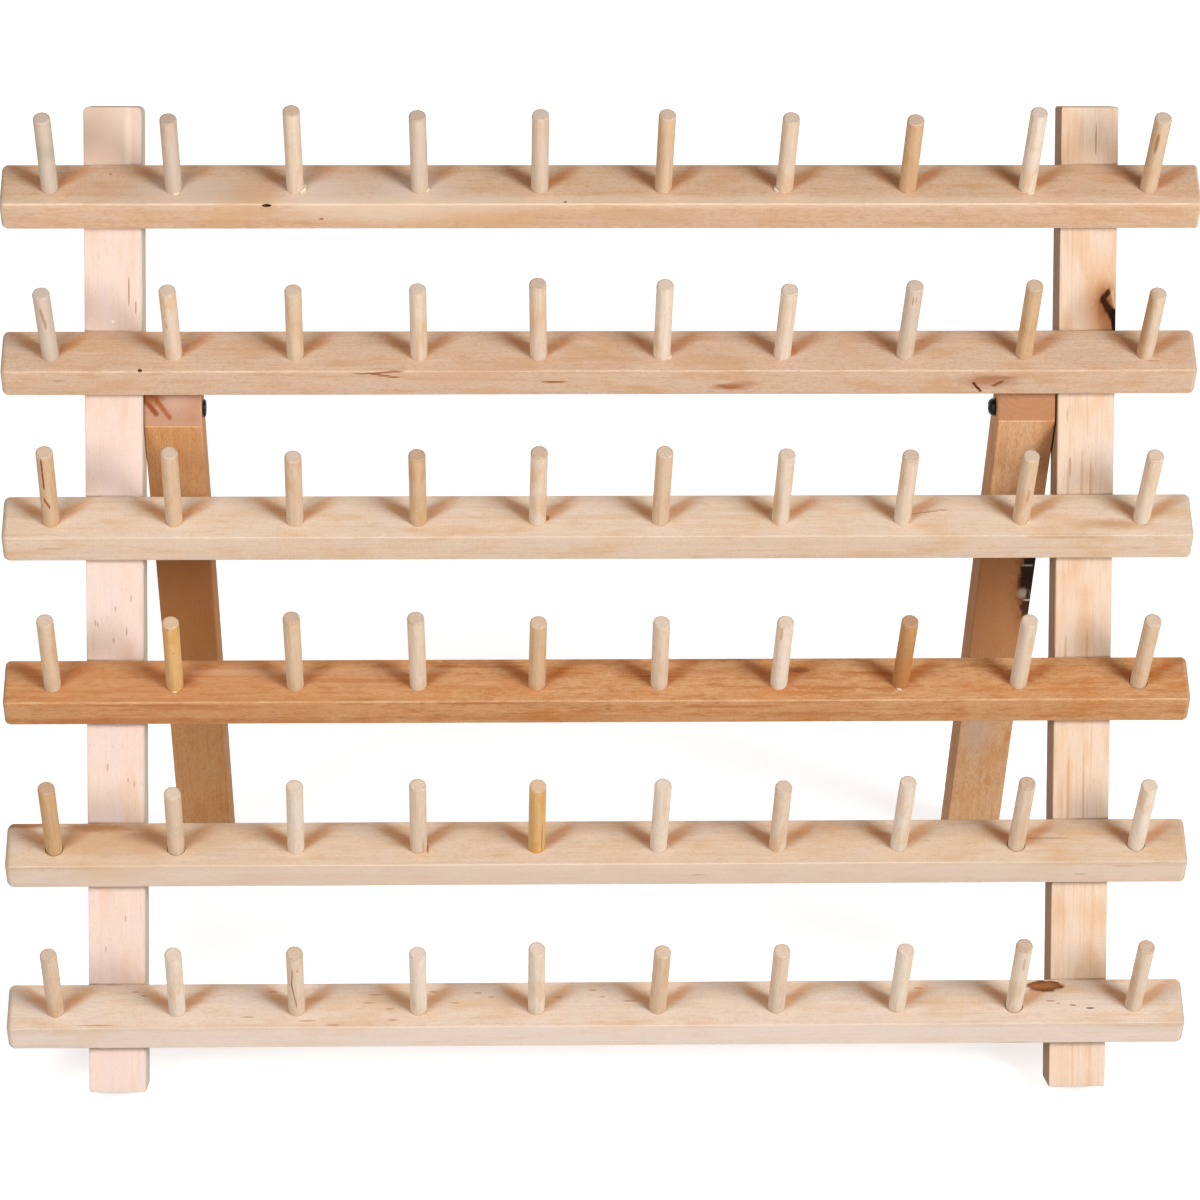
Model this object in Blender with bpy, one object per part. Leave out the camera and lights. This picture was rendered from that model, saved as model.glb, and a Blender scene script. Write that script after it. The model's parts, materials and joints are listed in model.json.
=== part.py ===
# Folding thread rack: six peg rails seated in two notched posts, standing on two hinged legs.
# It is modelled in the posts' frame: X along the rails, Y from front to back, Z up the posts.
# An empty then leans the whole rack back until the posts and the open legs stand on the floor.
# All lengths are in metres.

import math

import bmesh
import bpy
from mathutils import Vector

# Rails
RAIL_COUNT = 6
RAIL_LENGTH = 0.419
RAIL_WIDTH = 0.019
RAIL_THICKNESS = 0.0127
RAIL_TILT = math.radians(45)
RAIL_OVERHANG = 0.0277
RAIL_END_EASE = 0.0018

# Pegs
PEGS_PER_RAIL = 10
PEG_END_MARGIN = 0.01735
PEG_RADIUS = 0.003
PEG_EXPOSED = 0.036
PEG_SEAT_DEPTH = 0.0095
PEG_SETBACK = 0.0112
PEG_TIP_EASE = 0.0004

# Posts and legs are sawn from one stock
STOCK_WIDTH = 0.0203
STOCK_DEPTH = 0.018
POST_LENGTH = 0.3505
TOP_RAIL_DROP = 0.0201
LOWEST_RAIL_HEIGHT = 0.0394
POST_TOP_EASE = 0.0013

# Legs
LEG_TOP_REACH = 0.0133
FOLDED_FOOT_OVERHANG = 0.0075
LEG_BEVEL_SETBACK = 0.001
LEG_END_EASE = 0.0008

# Pivot screws
SCREW_RADIUS = 0.0021
SCREW_GRIP = 0.012
SCREW_POINT = 0.003
SCREW_HEAD_RADIUS = 0.0033
SCREW_HEAD_HEIGHT = 0.0024
SCREW_HEAD_STEPS = 4

# Clearances between pieces
SEAT_CLEARANCE = 0.0003
BORE_CLEARANCE = 0.0002
SIDE_CLEARANCE = 0.0004
CUT_OVERRUN = 0.002

# Fineness of the turned pieces
PEG_SIDES = 16
SCREW_SIDES = 20

# Rails from this one down carry their pegs in one solid, because sixty nodes is the most
FIRST_RAIL_WITH_FIXED_PEGS = 5

WOODS = {
    "rail_wood": (0.62, 0.42, 0.27),
    "post_wood": (0.80, 0.62, 0.48),
    "leg_wood": (0.58, 0.36, 0.20),
    "peg_wood": (0.74, 0.56, 0.37),
}
WOOD_ROUGHNESS = 0.6
STEEL_COLOR = (0.015, 0.015, 0.016)
STEEL_ROUGHNESS = 0.35


def clear_scene():
    for obj in list(bpy.data.objects):
        bpy.data.objects.remove(obj, do_unlink=True)


def make_material(name, color, roughness, metallic=0.0):
    material = bpy.data.materials.new(name)
    material.use_nodes = True
    shader = material.node_tree.nodes["Principled BSDF"]
    shader.inputs["Base Color"].default_value = (*color, 1.0)
    shader.inputs["Roughness"].default_value = roughness
    shader.inputs["Metallic"].default_value = metallic
    material.diffuse_color = (*color, 1.0)
    return material


def make_materials():
    materials = {name: make_material(name, color, WOOD_ROUGHNESS) for name, color in WOODS.items()}
    materials["black_steel"] = make_material("black_steel", STEEL_COLOR, STEEL_ROUGHNESS, metallic=1.0)
    return materials


def add_object(name, shape, parent, material=None, location=(0, 0, 0), rotation=(0, 0, 0)):
    mesh = bpy.data.meshes.new(name)
    bmesh.ops.recalc_face_normals(shape, faces=shape.faces[:])
    shape.to_mesh(mesh)
    shape.free()
    return add_copy(name, mesh, parent, material, location, rotation)


def add_copy(name, mesh, parent, material=None, location=(0, 0, 0), rotation=(0, 0, 0)):
    obj = bpy.data.objects.new(name, mesh)
    bpy.context.scene.collection.objects.link(obj)
    obj.parent = parent
    obj.location = location
    obj.rotation_euler = rotation
    if material and not mesh.materials:
        mesh.materials.append(material)
    return obj


def add_cutter(name, shape, parent, location=(0, 0, 0), rotation=(0, 0, 0)):
    cutter = add_object(name, shape, parent, None, location, rotation)
    cutter.display_type = "WIRE"
    cutter.hide_render = True
    return cutter


def add_boolean(obj, other, operation="DIFFERENCE"):
    modifier = obj.modifiers.new(other.name, "BOOLEAN")
    modifier.operation = operation
    modifier.solver = "EXACT"
    modifier.object = other


def extruded(outline, width):
    """A bar whose section is an outline of (y, z) points, centred on X."""
    shape = bmesh.new()
    corners = [shape.verts.new((-width / 2, y, z)) for y, z in outline]
    section = shape.faces.new(corners)
    swept = bmesh.ops.extrude_face_region(shape, geom=[section])
    moved = [item for item in swept["geom"] if isinstance(item, bmesh.types.BMVert)]
    bmesh.ops.translate(shape, verts=moved, vec=(width, 0, 0))
    return shape


def turned(profile, sides, shape=None, place=(0, 0, 0)):
    """A solid turned about Z from (radius, z) points; a point of radius 0 closes an end."""
    shape = shape or bmesh.new()
    rings = []
    for radius, z in profile:
        if radius == 0:
            rings.append([shape.verts.new(Vector((0, 0, z)) + Vector(place))])
            continue
        angles = [math.pi * (2 * step + 1) / sides for step in range(sides)]
        points = [Vector((radius * math.cos(a), radius * math.sin(a), z)) for a in angles]
        rings.append([shape.verts.new(point + Vector(place)) for point in points])
    for lower, upper in zip(rings, rings[1:]):
        for step in range(sides):
            after = (step + 1) % sides
            corners = [lower[step % len(lower)], lower[after % len(lower)]]
            corners += [upper[after % len(upper)], upper[step % len(upper)]]
            shape.faces.new(list(dict.fromkeys(corners)))
    return shape


def ease_edges(shape, width, segments, wanted):
    edges = [edge for edge in shape.edges if wanted(*(vert.co for vert in edge.verts))]
    bmesh.ops.bevel(shape, geom=edges, offset=width, segments=segments, profile=0.5, affect="EDGES")


def rail_height(row):
    """Height up the post of the back edge of a rail, counted from 1 at the top."""
    pitch = (POST_LENGTH - TOP_RAIL_DROP - LOWEST_RAIL_HEIGHT) / (RAIL_COUNT - 1)
    return LOWEST_RAIL_HEIGHT + (RAIL_COUNT - row) * pitch


def in_rack(row, y, z):
    """Where a point of a rail's own section lies in the posts' frame."""
    cos, sin = math.cos(RAIL_TILT), math.sin(RAIL_TILT)
    return y * cos - z * sin, rail_height(row) + y * sin + z * cos


def peg_place(number):
    """Place of a peg in its rail's frame, counted from 1 at the left."""
    first = PEG_END_MARGIN - RAIL_LENGTH / 2
    pitch = -2 * first / (PEGS_PER_RAIL - 1)
    return first + (number - 1) * pitch, -PEG_SETBACK, 0


def peg_profile():
    tip = PEG_EXPOSED
    return [
        (0, -PEG_SEAT_DEPTH),
        (PEG_RADIUS, -PEG_SEAT_DEPTH),
        (PEG_RADIUS, tip - PEG_TIP_EASE),
        (PEG_RADIUS - PEG_TIP_EASE, tip),
        (0, tip),
    ]


def bore_profile(radius, bottom, top, sides):
    """A cutter whose flats stand off a turned piece of that radius by the bore clearance."""
    bore = radius + BORE_CLEARANCE / math.cos(math.pi / sides)
    return [(0, bottom), (bore, bottom), (bore, top), (0, top)]


def rail_shape():
    section = [(0, 0), (-RAIL_WIDTH, 0), (-RAIL_WIDTH, -RAIL_THICKNESS), (0, -RAIL_THICKNESS)]
    shape = extruded(section, RAIL_LENGTH)
    ease_edges(shape, RAIL_END_EASE, 2, lambda a, b: a.x == b.x)
    return shape


def make_rails(rack, materials):
    """The rails; the upper ones are bored for loose pegs, the lower ones hold theirs in one solid."""
    peg_mesh = None
    rails = []
    for row in range(1, RAIL_COUNT + 1):
        place = (0, 0, rail_height(row))
        turn = (RAIL_TILT, 0, 0)
        rail = add_object(f"rail_{row}", rail_shape(), rack, materials["rail_wood"], place, turn)
        rails.append(rail)
        numbers = range(1, PEGS_PER_RAIL + 1)
        tool = bmesh.new()
        if row >= FIRST_RAIL_WITH_FIXED_PEGS:
            for number in numbers:
                turned(peg_profile(), PEG_SIDES, tool, peg_place(number))
            add_boolean(rail, add_cutter(f"pegs_of_rail_{row}", tool, rail), "UNION")
            continue
        bore = bore_profile(PEG_RADIUS, -PEG_SEAT_DEPTH - SEAT_CLEARANCE, CUT_OVERRUN, PEG_SIDES)
        for number in numbers:
            turned(bore, PEG_SIDES, tool, peg_place(number))
        add_boolean(rail, add_cutter(f"bores_of_rail_{row}", tool, rail))
        for number in numbers:
            name = f"peg_{row}_{number:02d}"
            if peg_mesh is None:
                peg = add_object(name, turned(peg_profile(), PEG_SIDES), rail, materials["peg_wood"])
                peg_mesh = peg.data
            else:
                peg = add_copy(name, peg_mesh, rail)
            peg.location = peg_place(number)
    return rails


def post_outline():
    """Side view of a post: a bar with a right-angled notch in its front for each rail."""
    gap = SEAT_CLEARANCE
    outline = [(STOCK_DEPTH, 0), (0, 0)]
    for row in range(RAIL_COUNT, 0, -1):
        under_mouth = rail_height(row) - (RAIL_THICKNESS + gap) / math.cos(RAIL_TILT)
        upper_mouth = rail_height(row) + gap / math.sin(RAIL_TILT)
        outline += [(0, under_mouth), in_rack(row, gap, -RAIL_THICKNESS - gap), (0, upper_mouth)]
    return outline + [(0, POST_LENGTH), (STOCK_DEPTH, POST_LENGTH)]


def post_centre(side):
    """X of a post's middle, inside the rails' overhang."""
    return side * (RAIL_LENGTH / 2 - RAIL_OVERHANG - STOCK_WIDTH / 2)


def make_post(name, side, rack, materials):
    shape = extruded(post_outline(), STOCK_WIDTH)
    top = max(vert.co.z for vert in shape.verts)
    ease_edges(shape, POST_TOP_EASE, 2, lambda a, b: a.z == top and b.z == top)
    return add_object(name, shape, rack, materials["post_wood"], (post_centre(side), 0, 0))


def pivot_place():
    """The legs' axis: half way through the posts, where the open leg's end meets the second rail."""
    cos, sin = math.cos(RAIL_TILT), math.sin(RAIL_TILT)
    under_y, under_z = in_rack(2, 0, -RAIL_THICKNESS - SEAT_CLEARANCE)
    pivot_y = STOCK_DEPTH / 2
    along = LEG_TOP_REACH + (pivot_y - under_y) * sin
    return pivot_y, under_z - along / cos


def leg_centre(side):
    """X of a leg's middle, against the inner side of its post."""
    return post_centre(side) - side * (STOCK_WIDTH + SIDE_CLEARANCE)


def folded_angle():
    """Angle between a post and its folded leg, whose front then meets the back edge of the third rail."""
    pivot_y, pivot_z = pivot_place()
    corner_y, corner_z = in_rack(3, 0, -RAIL_THICKNESS)
    drop = pivot_z - corner_z
    setback = pivot_y - corner_y
    reach = math.hypot(drop, setback)
    return math.asin((STOCK_DEPTH / 2 + SEAT_CLEARANCE) / reach) - math.atan2(setback, drop)


def foot_reach():
    """Pivot to the foot's front edge, which hangs a little below the posts' feet when folded."""
    drop = pivot_place()[1] + FOLDED_FOOT_OVERHANG - STOCK_DEPTH / 2 * math.sin(folded_angle())
    return drop / math.cos(folded_angle())


def lean_angle():
    """How far the rack leans back when the posts' heels and the legs' front foot edges touch the floor."""
    cos, sin = math.cos(RAIL_TILT), math.sin(RAIL_TILT)
    pivot_y, pivot_z = pivot_place()
    foot_y = pivot_y - STOCK_DEPTH / 2 * cos + foot_reach() * sin
    foot_z = pivot_z - STOCK_DEPTH / 2 * sin - foot_reach() * cos
    return math.atan2(foot_z, foot_y - STOCK_DEPTH)


def leg_outline():
    """Side view of an open leg about its pivot: a floor-flat foot, and a bevel flush with the posts' fronts."""
    cos, sin = math.cos(RAIL_TILT), math.sin(RAIL_TILT)
    half = STOCK_DEPTH / 2
    bevel_depth = pivot_place()[0] - LEG_BEVEL_SETBACK
    bevel_foot = (-half, (bevel_depth - half * cos) / sin)
    bevel_top = ((LEG_TOP_REACH * sin - bevel_depth) / cos, LEG_TOP_REACH)
    toe = -foot_reach()
    heel = toe - STOCK_DEPTH * math.tan(RAIL_TILT - lean_angle())
    return [(half, heel), (-half, toe), bevel_foot, bevel_top, (half, LEG_TOP_REACH)]


def make_leg(name, side, rack, materials):
    """A leg in its open pose, turned by the rails' tilt so that its square top seats under the rail."""
    shape = extruded(leg_outline(), STOCK_WIDTH)
    above_foot = LEG_END_EASE - foot_reach()
    ease_edges(shape, LEG_END_EASE, 1, lambda a, b: max(a.z, b.z) < above_foot)
    place = (leg_centre(side), *pivot_place())
    return add_object(name, shape, rack, materials["leg_wood"], place, (RAIL_TILT, 0, 0))


def screw_profile(head_radius):
    """Point, shank and domed head; Z runs out of the post and 0 is under the head."""
    tip = -STOCK_WIDTH - SIDE_CLEARANCE - SCREW_GRIP
    profile = [(0, tip), (SCREW_RADIUS, tip + SCREW_POINT), (SCREW_RADIUS, 0), (head_radius, 0)]
    for step in range(1, SCREW_HEAD_STEPS):
        angle = math.pi / 2 * step / SCREW_HEAD_STEPS
        profile.append((head_radius * math.cos(angle), SCREW_HEAD_HEIGHT * math.sin(angle)))
    return profile + [(0, SCREW_HEAD_HEIGHT)]


def make_pivot(side, side_name, rack, post, leg, materials):
    """The screw that the leg turns on, with its bore through the leg and into the post."""
    head_seat = leg_centre(side) - side * (STOCK_WIDTH / 2 + SEAT_CLEARANCE)
    place = (head_seat, *pivot_place())
    turn = (0, -side * math.pi / 2, 0)
    shape = turned(screw_profile(SCREW_HEAD_RADIUS), SCREW_SIDES)
    screw = add_object(f"pivot_screw_{side_name}", shape, rack, materials["black_steel"], place, turn)
    depth = STOCK_WIDTH + SIDE_CLEARANCE + SCREW_GRIP + 2 * SEAT_CLEARANCE
    bore = turned(bore_profile(SCREW_RADIUS, -depth, CUT_OVERRUN, SCREW_SIDES), SCREW_SIDES)
    cutter = add_cutter(f"pivot_bore_{side_name}", bore, rack, place, turn)
    add_boolean(leg, cutter)
    add_boolean(post, cutter)
    return screw


def stand_on_floor(rack, pieces):
    """Moves the leaning rack so that it stands on Z = 0 with its middle on Y = 0."""
    bpy.context.view_layer.update()
    graph = bpy.context.evaluated_depsgraph_get()
    points = []
    for piece in pieces:
        seen = piece.evaluated_get(graph)
        points += [seen.matrix_world @ vert.co for vert in seen.data.vertices]
    depths = [point.y for point in points]
    rack.location.y -= (min(depths) + max(depths)) / 2
    rack.location.z -= min(point.z for point in points)


def main():
    clear_scene()
    materials = make_materials()
    rack = bpy.data.objects.new("rack", None)
    bpy.context.scene.collection.objects.link(rack)
    make_rails(rack, materials)
    for side, side_name in ((-1, "left"), (1, "right")):
        post = make_post(f"post_{side_name}", side, rack, materials)
        leg = make_leg(f"leg_{side_name}", side, rack, materials)
        make_pivot(side, side_name, rack, post, leg, materials)
    rack.rotation_euler = (-lean_angle(), 0, 0)
    solids = [obj for obj in bpy.data.objects if obj.type == "MESH" and not obj.hide_render]
    stand_on_floor(rack, solids)
    swing = math.degrees(RAIL_TILT - folded_angle())
    print(f"The rack leans back {math.degrees(lean_angle()):.2f} degrees and each leg swings {swing:.2f} degrees")
    bpy.context.view_layer.update()


main()
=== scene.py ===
"""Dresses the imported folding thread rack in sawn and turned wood.

Every board is modelled in its own coordinates, X along a rail and Z up a post, leg or peg,
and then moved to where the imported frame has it. Lengths are in metres, and in mm in the tables and the
woods' marks that say so.
"""

import json
import math
import random

import bmesh
import bpy
from bpy.props import FloatProperty, FloatVectorProperty, PointerProperty
from mathutils import Euler, Matrix, Vector


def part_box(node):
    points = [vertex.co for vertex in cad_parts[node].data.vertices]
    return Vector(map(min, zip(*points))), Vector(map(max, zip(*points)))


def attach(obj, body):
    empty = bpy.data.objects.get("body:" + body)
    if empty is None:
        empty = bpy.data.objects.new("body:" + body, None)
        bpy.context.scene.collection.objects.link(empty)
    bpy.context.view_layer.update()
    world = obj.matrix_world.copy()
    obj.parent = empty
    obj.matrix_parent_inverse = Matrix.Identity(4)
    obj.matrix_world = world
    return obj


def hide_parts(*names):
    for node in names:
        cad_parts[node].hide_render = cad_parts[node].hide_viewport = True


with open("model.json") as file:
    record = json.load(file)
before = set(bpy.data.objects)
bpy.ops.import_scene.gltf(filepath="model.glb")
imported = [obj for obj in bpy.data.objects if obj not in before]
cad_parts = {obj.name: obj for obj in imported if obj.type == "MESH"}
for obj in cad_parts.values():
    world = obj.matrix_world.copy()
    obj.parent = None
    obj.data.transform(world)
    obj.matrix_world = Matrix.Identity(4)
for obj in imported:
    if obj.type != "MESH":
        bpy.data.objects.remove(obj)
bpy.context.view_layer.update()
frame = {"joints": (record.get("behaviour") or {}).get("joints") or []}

bl_info = {
    "name": "Folding Thread Rack",
    "version": (1, 0, 0),
    "blender": (4, 5, 0),
    "location": "3D View > Sidebar > Thread Rack",
    "description": "Dresses the packed thread rack in sawn and turned wood",
    "category": "Object",
}

RAIL_ROWS = 6
PEGS_PER_RAIL = 10
LOOSE_PEG_ROWS = 4
RAIL_TILT = math.radians(45)
SIDES = {"left": -1, "right": 1}
PER_MM = 1000


def middle(node):
    low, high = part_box(node)
    return (low + high) / 2


# The rack's own directions and places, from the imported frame
THREE_PITCHES = middle("rail_1") - middle("rail_4")
UP = THREE_PITCHES.normalized()
RAIL_PITCH = THREE_PITCHES.length / 3
LEAN = math.atan2(UP.y, UP.z)
RACK_TURN = Matrix.Rotation(-LEAN, 4, "X")
RAIL_TURN = Matrix.Rotation(RAIL_TILT - LEAN, 4, "X")
RAIL_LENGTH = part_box("rail_1")[1].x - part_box("rail_1")[0].x
PEG_PLACES = [middle(f"peg_1_{number:02d}").x for number in range(1, PEGS_PER_RAIL + 1)]
PIVOTS = {joint["child"]: Vector(joint["pos_m"]) for joint in frame["joints"]}

# How far each rail was glued to the right, in mm
RAIL_SLIDES = {1: 0.9, 2: 0.4, 3: -0.1, 4: -0.4, 5: -0.6, 6: -0.8}
# Rounding of each rail's left and right end, in mm
RAIL_END_ROUNDS = {1: (2.2, 1.1), 2: (2.0, 2.1), 3: (2.2, 1.8), 4: (1.9, 1.9), 5: (2.4, 1.9), 6: (2.1, 2.2)}
# How far each peg leans to the right, in tenths of a degree, from left to right
PEG_LEANS = {
    1: (-4, -2, -3, -6, 2, 7, 14, 12, 17, 25),
    2: (-18, -10, 6, -1, -8, 4, 18, 20, 13, 25),
    3: (4, 2, 7, -1, 7, 11, 13, 13, 12, 23),
    4: (-1, 3, -3, -7, 6, -1, 14, 19, 16, 24),
    5: (-4, 6, 10, 3, 4, 12, 10, 15, 13, 19),
    6: (-3, 4, 6, 1, 0, 14, 8, 13, 8, 15),
}
# How far each column of bores strays to the right, in tenths of a mm
BORE_STRAYS = (-1, 2, -2, 4, -5, 0, -4, 0, -8, -8)
# How much longer each peg was cut, in tenths of a mm
PEG_EXTRAS = {
    1: (-10, -14, 26, 2, 7, 7, -8, -18, 18, -8),
    2: (-36, -21, -21, -16, 12, 5, -19, -1, 1, -41),
    3: (17, 13, -10, -2, 12, 11, -3, -10, -13, -12),
    4: (13, 0, 25, 21, -6, -7, -7, -5, -3, -4),
    5: (5, -27, 11, 14, 8, 9, -5, 20, 13, -5),
    6: (-6, -4, -2, -7, 18, -6, -2, -3, 23, 11),
}
# How dark the dowels are, from 0 for the palest to 1, and the pegs that aren't cream, as row and number
CREAM_TONE = 0.29
WHITE_TONE = 0.07
TAN_TONE = 0.5
TONE_SPREAD = 0.06
WHITE_PEGS = ((1, 9), (2, 6), (2, 7), (4, 7), (5, 3), (5, 6), (5, 8), (5, 10), (6, 2), (6, 4), (6, 5), (6, 8),
              (6, 9))
TAN_PEGS = ((1, 6), (1, 10), (2, 3), (3, 2), (3, 3), (3, 6), (3, 9), (4, 1), (4, 3), (4, 10), (5, 2), (6, 1),
            (6, 6))
BROWN_PEGS = {(1, 8): 0.8, (2, 9): 0.8, (2, 10): 0.45, (3, 1): 0.72, (3, 4): 0.66, (4, 5): 0.66, (4, 8): 1.0,
              (5, 1): 0.82}
GOLDEN_PEGS = ((4, 2), (5, 5))
# Painted shade: how much darker the other dowels of the two upper rails are
UPPER_PEG_PAINTED_SHADE = {1: 0.08, 2: 0.05}
# How far each post is off its place to the right, in mm, at its foot and at its top
POST_STRAYS = {"left": (-0.4, 1.8), "right": (-0.1, 0.7)}
# How far each leg is off its place to the right, in mm
LEG_STRAYS = {"left": 0.8, "right": 0.3}
# Rounding of each post's top, in mm
POST_ROUNDS = {"left": 2.0, "right": 0.8}
# How high each screw's head is, as a share of a full one
SCREW_HEAD_SHARES = {"left": 0.42, "right": 1.0}
# How brown the tips of some pegs are, as row and number
STAINED_TIPS = {
    (1, 2): 0.95, (1, 3): 0.35, (1, 4): 0.5, (2, 5): 0.4, (3, 4): 0.7, (3, 5): 0.6, (3, 8): 0.4, (4, 3): 0.6,
    (4, 4): 0.4, (4, 8): 0.8, (5, 1): 0.75, (5, 7): 0.3, (5, 9): 0.7, (6, 1): 0.4, (6, 3): 0.35, (6, 9): 0.75,
    (6, 10): 0.6,
}
# Bores drilled wider than their peg, as row and number
WIDE_BORES = ((4, 10), (5, 1), (5, 2), (5, 9), (5, 10), (6, 9))
# Pegs with a bead of dried glue at the foot, as row, number, bearing in degrees and size in metres
GLUE_BEADS = ((1, 2, -70, 0.0011), (1, 3, -20, 0.0017), (1, 4, -20, 0.0011), (1, 7, -165, 0.0012),
              (1, 9, -60, 0.0012), (2, 6, -25, 0.0011), (3, 9, -30, 0.0010), (4, 2, -90, 0.0006),
              (4, 8, -100, 0.0007))
# The space around a screw in its leg, in metres
PIVOT_GAP = 0.0002

# Azimuth and elevation in degrees, distance and size in metres of each soft box round the rack's middle
SOFT_BOXES = {"left": (-37, 26.5, 0.85, 0.28), "right": (40, 26.5, 1.7, 0.62), "back": (180, 21, 2.4, 1.2)}
LIT_POINT = Vector((0, -0.05, 0.17))
# The camera that took the photograph, worked out from the rack's edges, with its turn in degrees
CAMERA_PLACE = (-0.04003, -1.58197, 0.90402)
CAMERA_TURN = (64.6515, -0.6041, -1.6768)
CAMERA_LENS_MM = 144.467
CAMERA_SHIFT = (-0.0294, -0.0018)
WHITE = (1.0, 1.0, 1.0)


def length_setting(name, description, default):
    return FloatProperty(name=name, description=description, default=default, unit="LENGTH")


class RackSizes(bpy.types.PropertyGroup):
    """Sizes that shape the rack's boards, pegs and screws"""

    rail_width: length_setting("Rail width", "Face that holds the pegs", 0.019)
    rail_thickness: length_setting("Rail thickness", "Front face", 0.0127)
    arris: length_setting("Arris", "Easing of the sawn edges", 0.0005)
    peg_radius: length_setting("Peg radius", "Dowel radius", 0.003)
    peg_exposed: length_setting("Peg length", "What stands above the rail", 0.036)
    peg_seat: length_setting("Peg seat", "What stands in the bore", 0.0095)
    peg_setback: length_setting("Peg setback", "Rail's back edge to peg axis", 0.0112)
    peg_chamfer: length_setting("Peg chamfer", "Sanded rim of a peg's tip", 0.0008)
    bore_gap: length_setting("Bore gap", "Space around a peg at its foot", 0.00006)
    wide_bore_gap: length_setting("Wide bore gap", "Space around a peg in a bore drilled too wide", 0.0003)
    seat_gap: length_setting("Seat gap", "Space between a rail and its notch", 0.0003)
    stock_width: length_setting("Stock width", "Posts and legs, side to side", 0.0203)
    stock_depth: length_setting("Stock depth", "Posts and legs, front to back", 0.018)
    post_length: length_setting("Post length", "Foot to top", 0.3505)
    top_rail_drop: length_setting("Top rail drop", "Post's top to the top rail's back edge", 0.0201)
    leg_top_reach: length_setting("Leg top reach", "Pivot to the leg's square top", 0.0133)
    leg_bevel_setback: length_setting("Leg bevel setback", "Post's front to the right leg's bevel", 0.001)
    deeper_left_bevel: length_setting("Deeper left bevel", "More that the left leg's bevel takes off", 0.0016)
    screw_radius: length_setting("Screw radius", "Shank of a pivot screw", 0.0021)
    screw_head_radius: length_setting("Screw head radius", "Round head", 0.0033)
    screw_head_height: length_setting("Screw head height", "Round head", 0.0024)
    screw_length: length_setting("Screw length", "Under the head", 0.0327)


def color_setting(name, description, default):
    return FloatVectorProperty(name=name, description=description, subtype="COLOR", size=3,
                               min=0, max=1, default=default)


class RackColors(bpy.types.PropertyGroup):
    """Wood and steel colours, in linear light"""

    rail_1: color_setting("Rail 1", "Top rail, warm and rubbed", (0.62, 0.425, 0.285))
    rail_2: color_setting("Rail 2", "Pinkish rail", (0.615, 0.44, 0.315))
    rail_3: color_setting("Rail 3", "Pale smooth rail", (0.69, 0.543, 0.412))
    rail_4: color_setting("Rail 4", "Dark rail", (0.55, 0.302, 0.142))
    rail_5: color_setting("Rail 5", "Pale smooth rail", (0.65, 0.495, 0.362))
    rail_6: color_setting("Rail 6", "Palest rail, at the foot", (0.685, 0.547, 0.434))
    left_post: color_setting("Left post", "Pale pinkish sapwood", (0.705, 0.545, 0.465))
    right_post: color_setting("Right post", "Warmer sapwood", (0.68, 0.525, 0.405))
    left_leg: color_setting("Left leg", "Browner heartwood", (0.60, 0.32, 0.142))
    right_leg: color_setting("Right leg", "Browner heartwood", (0.68, 0.41, 0.222))
    peg_pale: color_setting("Pale pegs", "Dowels of pale wood", (0.76, 0.65, 0.535))
    peg_dark: color_setting("Dark pegs", "Dowels of brown wood", (0.54, 0.31, 0.13))
    peg_gold: color_setting("Golden pegs", "Dowels of golden wood", (0.67, 0.41, 0.17))
    grain: color_setting("Grain", "Latewood lines and flecks", (0.33, 0.15, 0.06))
    knot: color_setting("Knots", "Hearts of knots and bark", (0.016, 0.006, 0.003))
    glue: color_setting("Glue", "Dried beads at the pegs", (0.70, 0.55, 0.38))
    steel: color_setting("Screws", "Blackened steel", (0.012, 0.012, 0.013))


def power_setting(name, description, default):
    return FloatProperty(name=name, description=description, default=default, unit="POWER")


class StageSettings(bpy.types.PropertyGroup):
    """Studio light around the rack"""

    left_lamp_power: power_setting("Left lamp power", "Near soft box", 3.7)
    right_lamp_power: power_setting("Right lamp power", "Far soft box", 28.2)
    back_lamp_power: power_setting("Back lamp power", "Soft box behind", 22.0)
    lamp_color: color_setting("Lamp colour", "Soft boxes, a little cool against the room", (0.95, 0.975, 1.0))
    ambient: FloatProperty(name="Ambient", description="Light from all around", default=0.12)
    ambient_color: color_setting("Ambient colour", "Warm light thrown back by the room", (1.0, 0.78, 0.60))
    floor_lift: FloatProperty(name="Floor lift", description="Light added to the seen floor", default=0.62)


# Shader maths

class Value:
    """A number, colour or vector on a link; arithmetic on it adds the nodes."""

    def __init__(self, recipe, socket):
        self.recipe = recipe
        self.socket = socket

    def __add__(self, other):
        return self.recipe.math("ADD", self, other)

    def __radd__(self, other):
        return self.recipe.math("ADD", other, self)

    def __sub__(self, other):
        return self.recipe.math("SUBTRACT", self, other)

    def __rsub__(self, other):
        return self.recipe.math("SUBTRACT", other, self)

    def __mul__(self, other):
        return self.recipe.math("MULTIPLY", self, other)

    def __rmul__(self, other):
        return self.recipe.math("MULTIPLY", other, self)

    def __pow__(self, other):
        return self.recipe.math("POWER", self, other)


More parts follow.
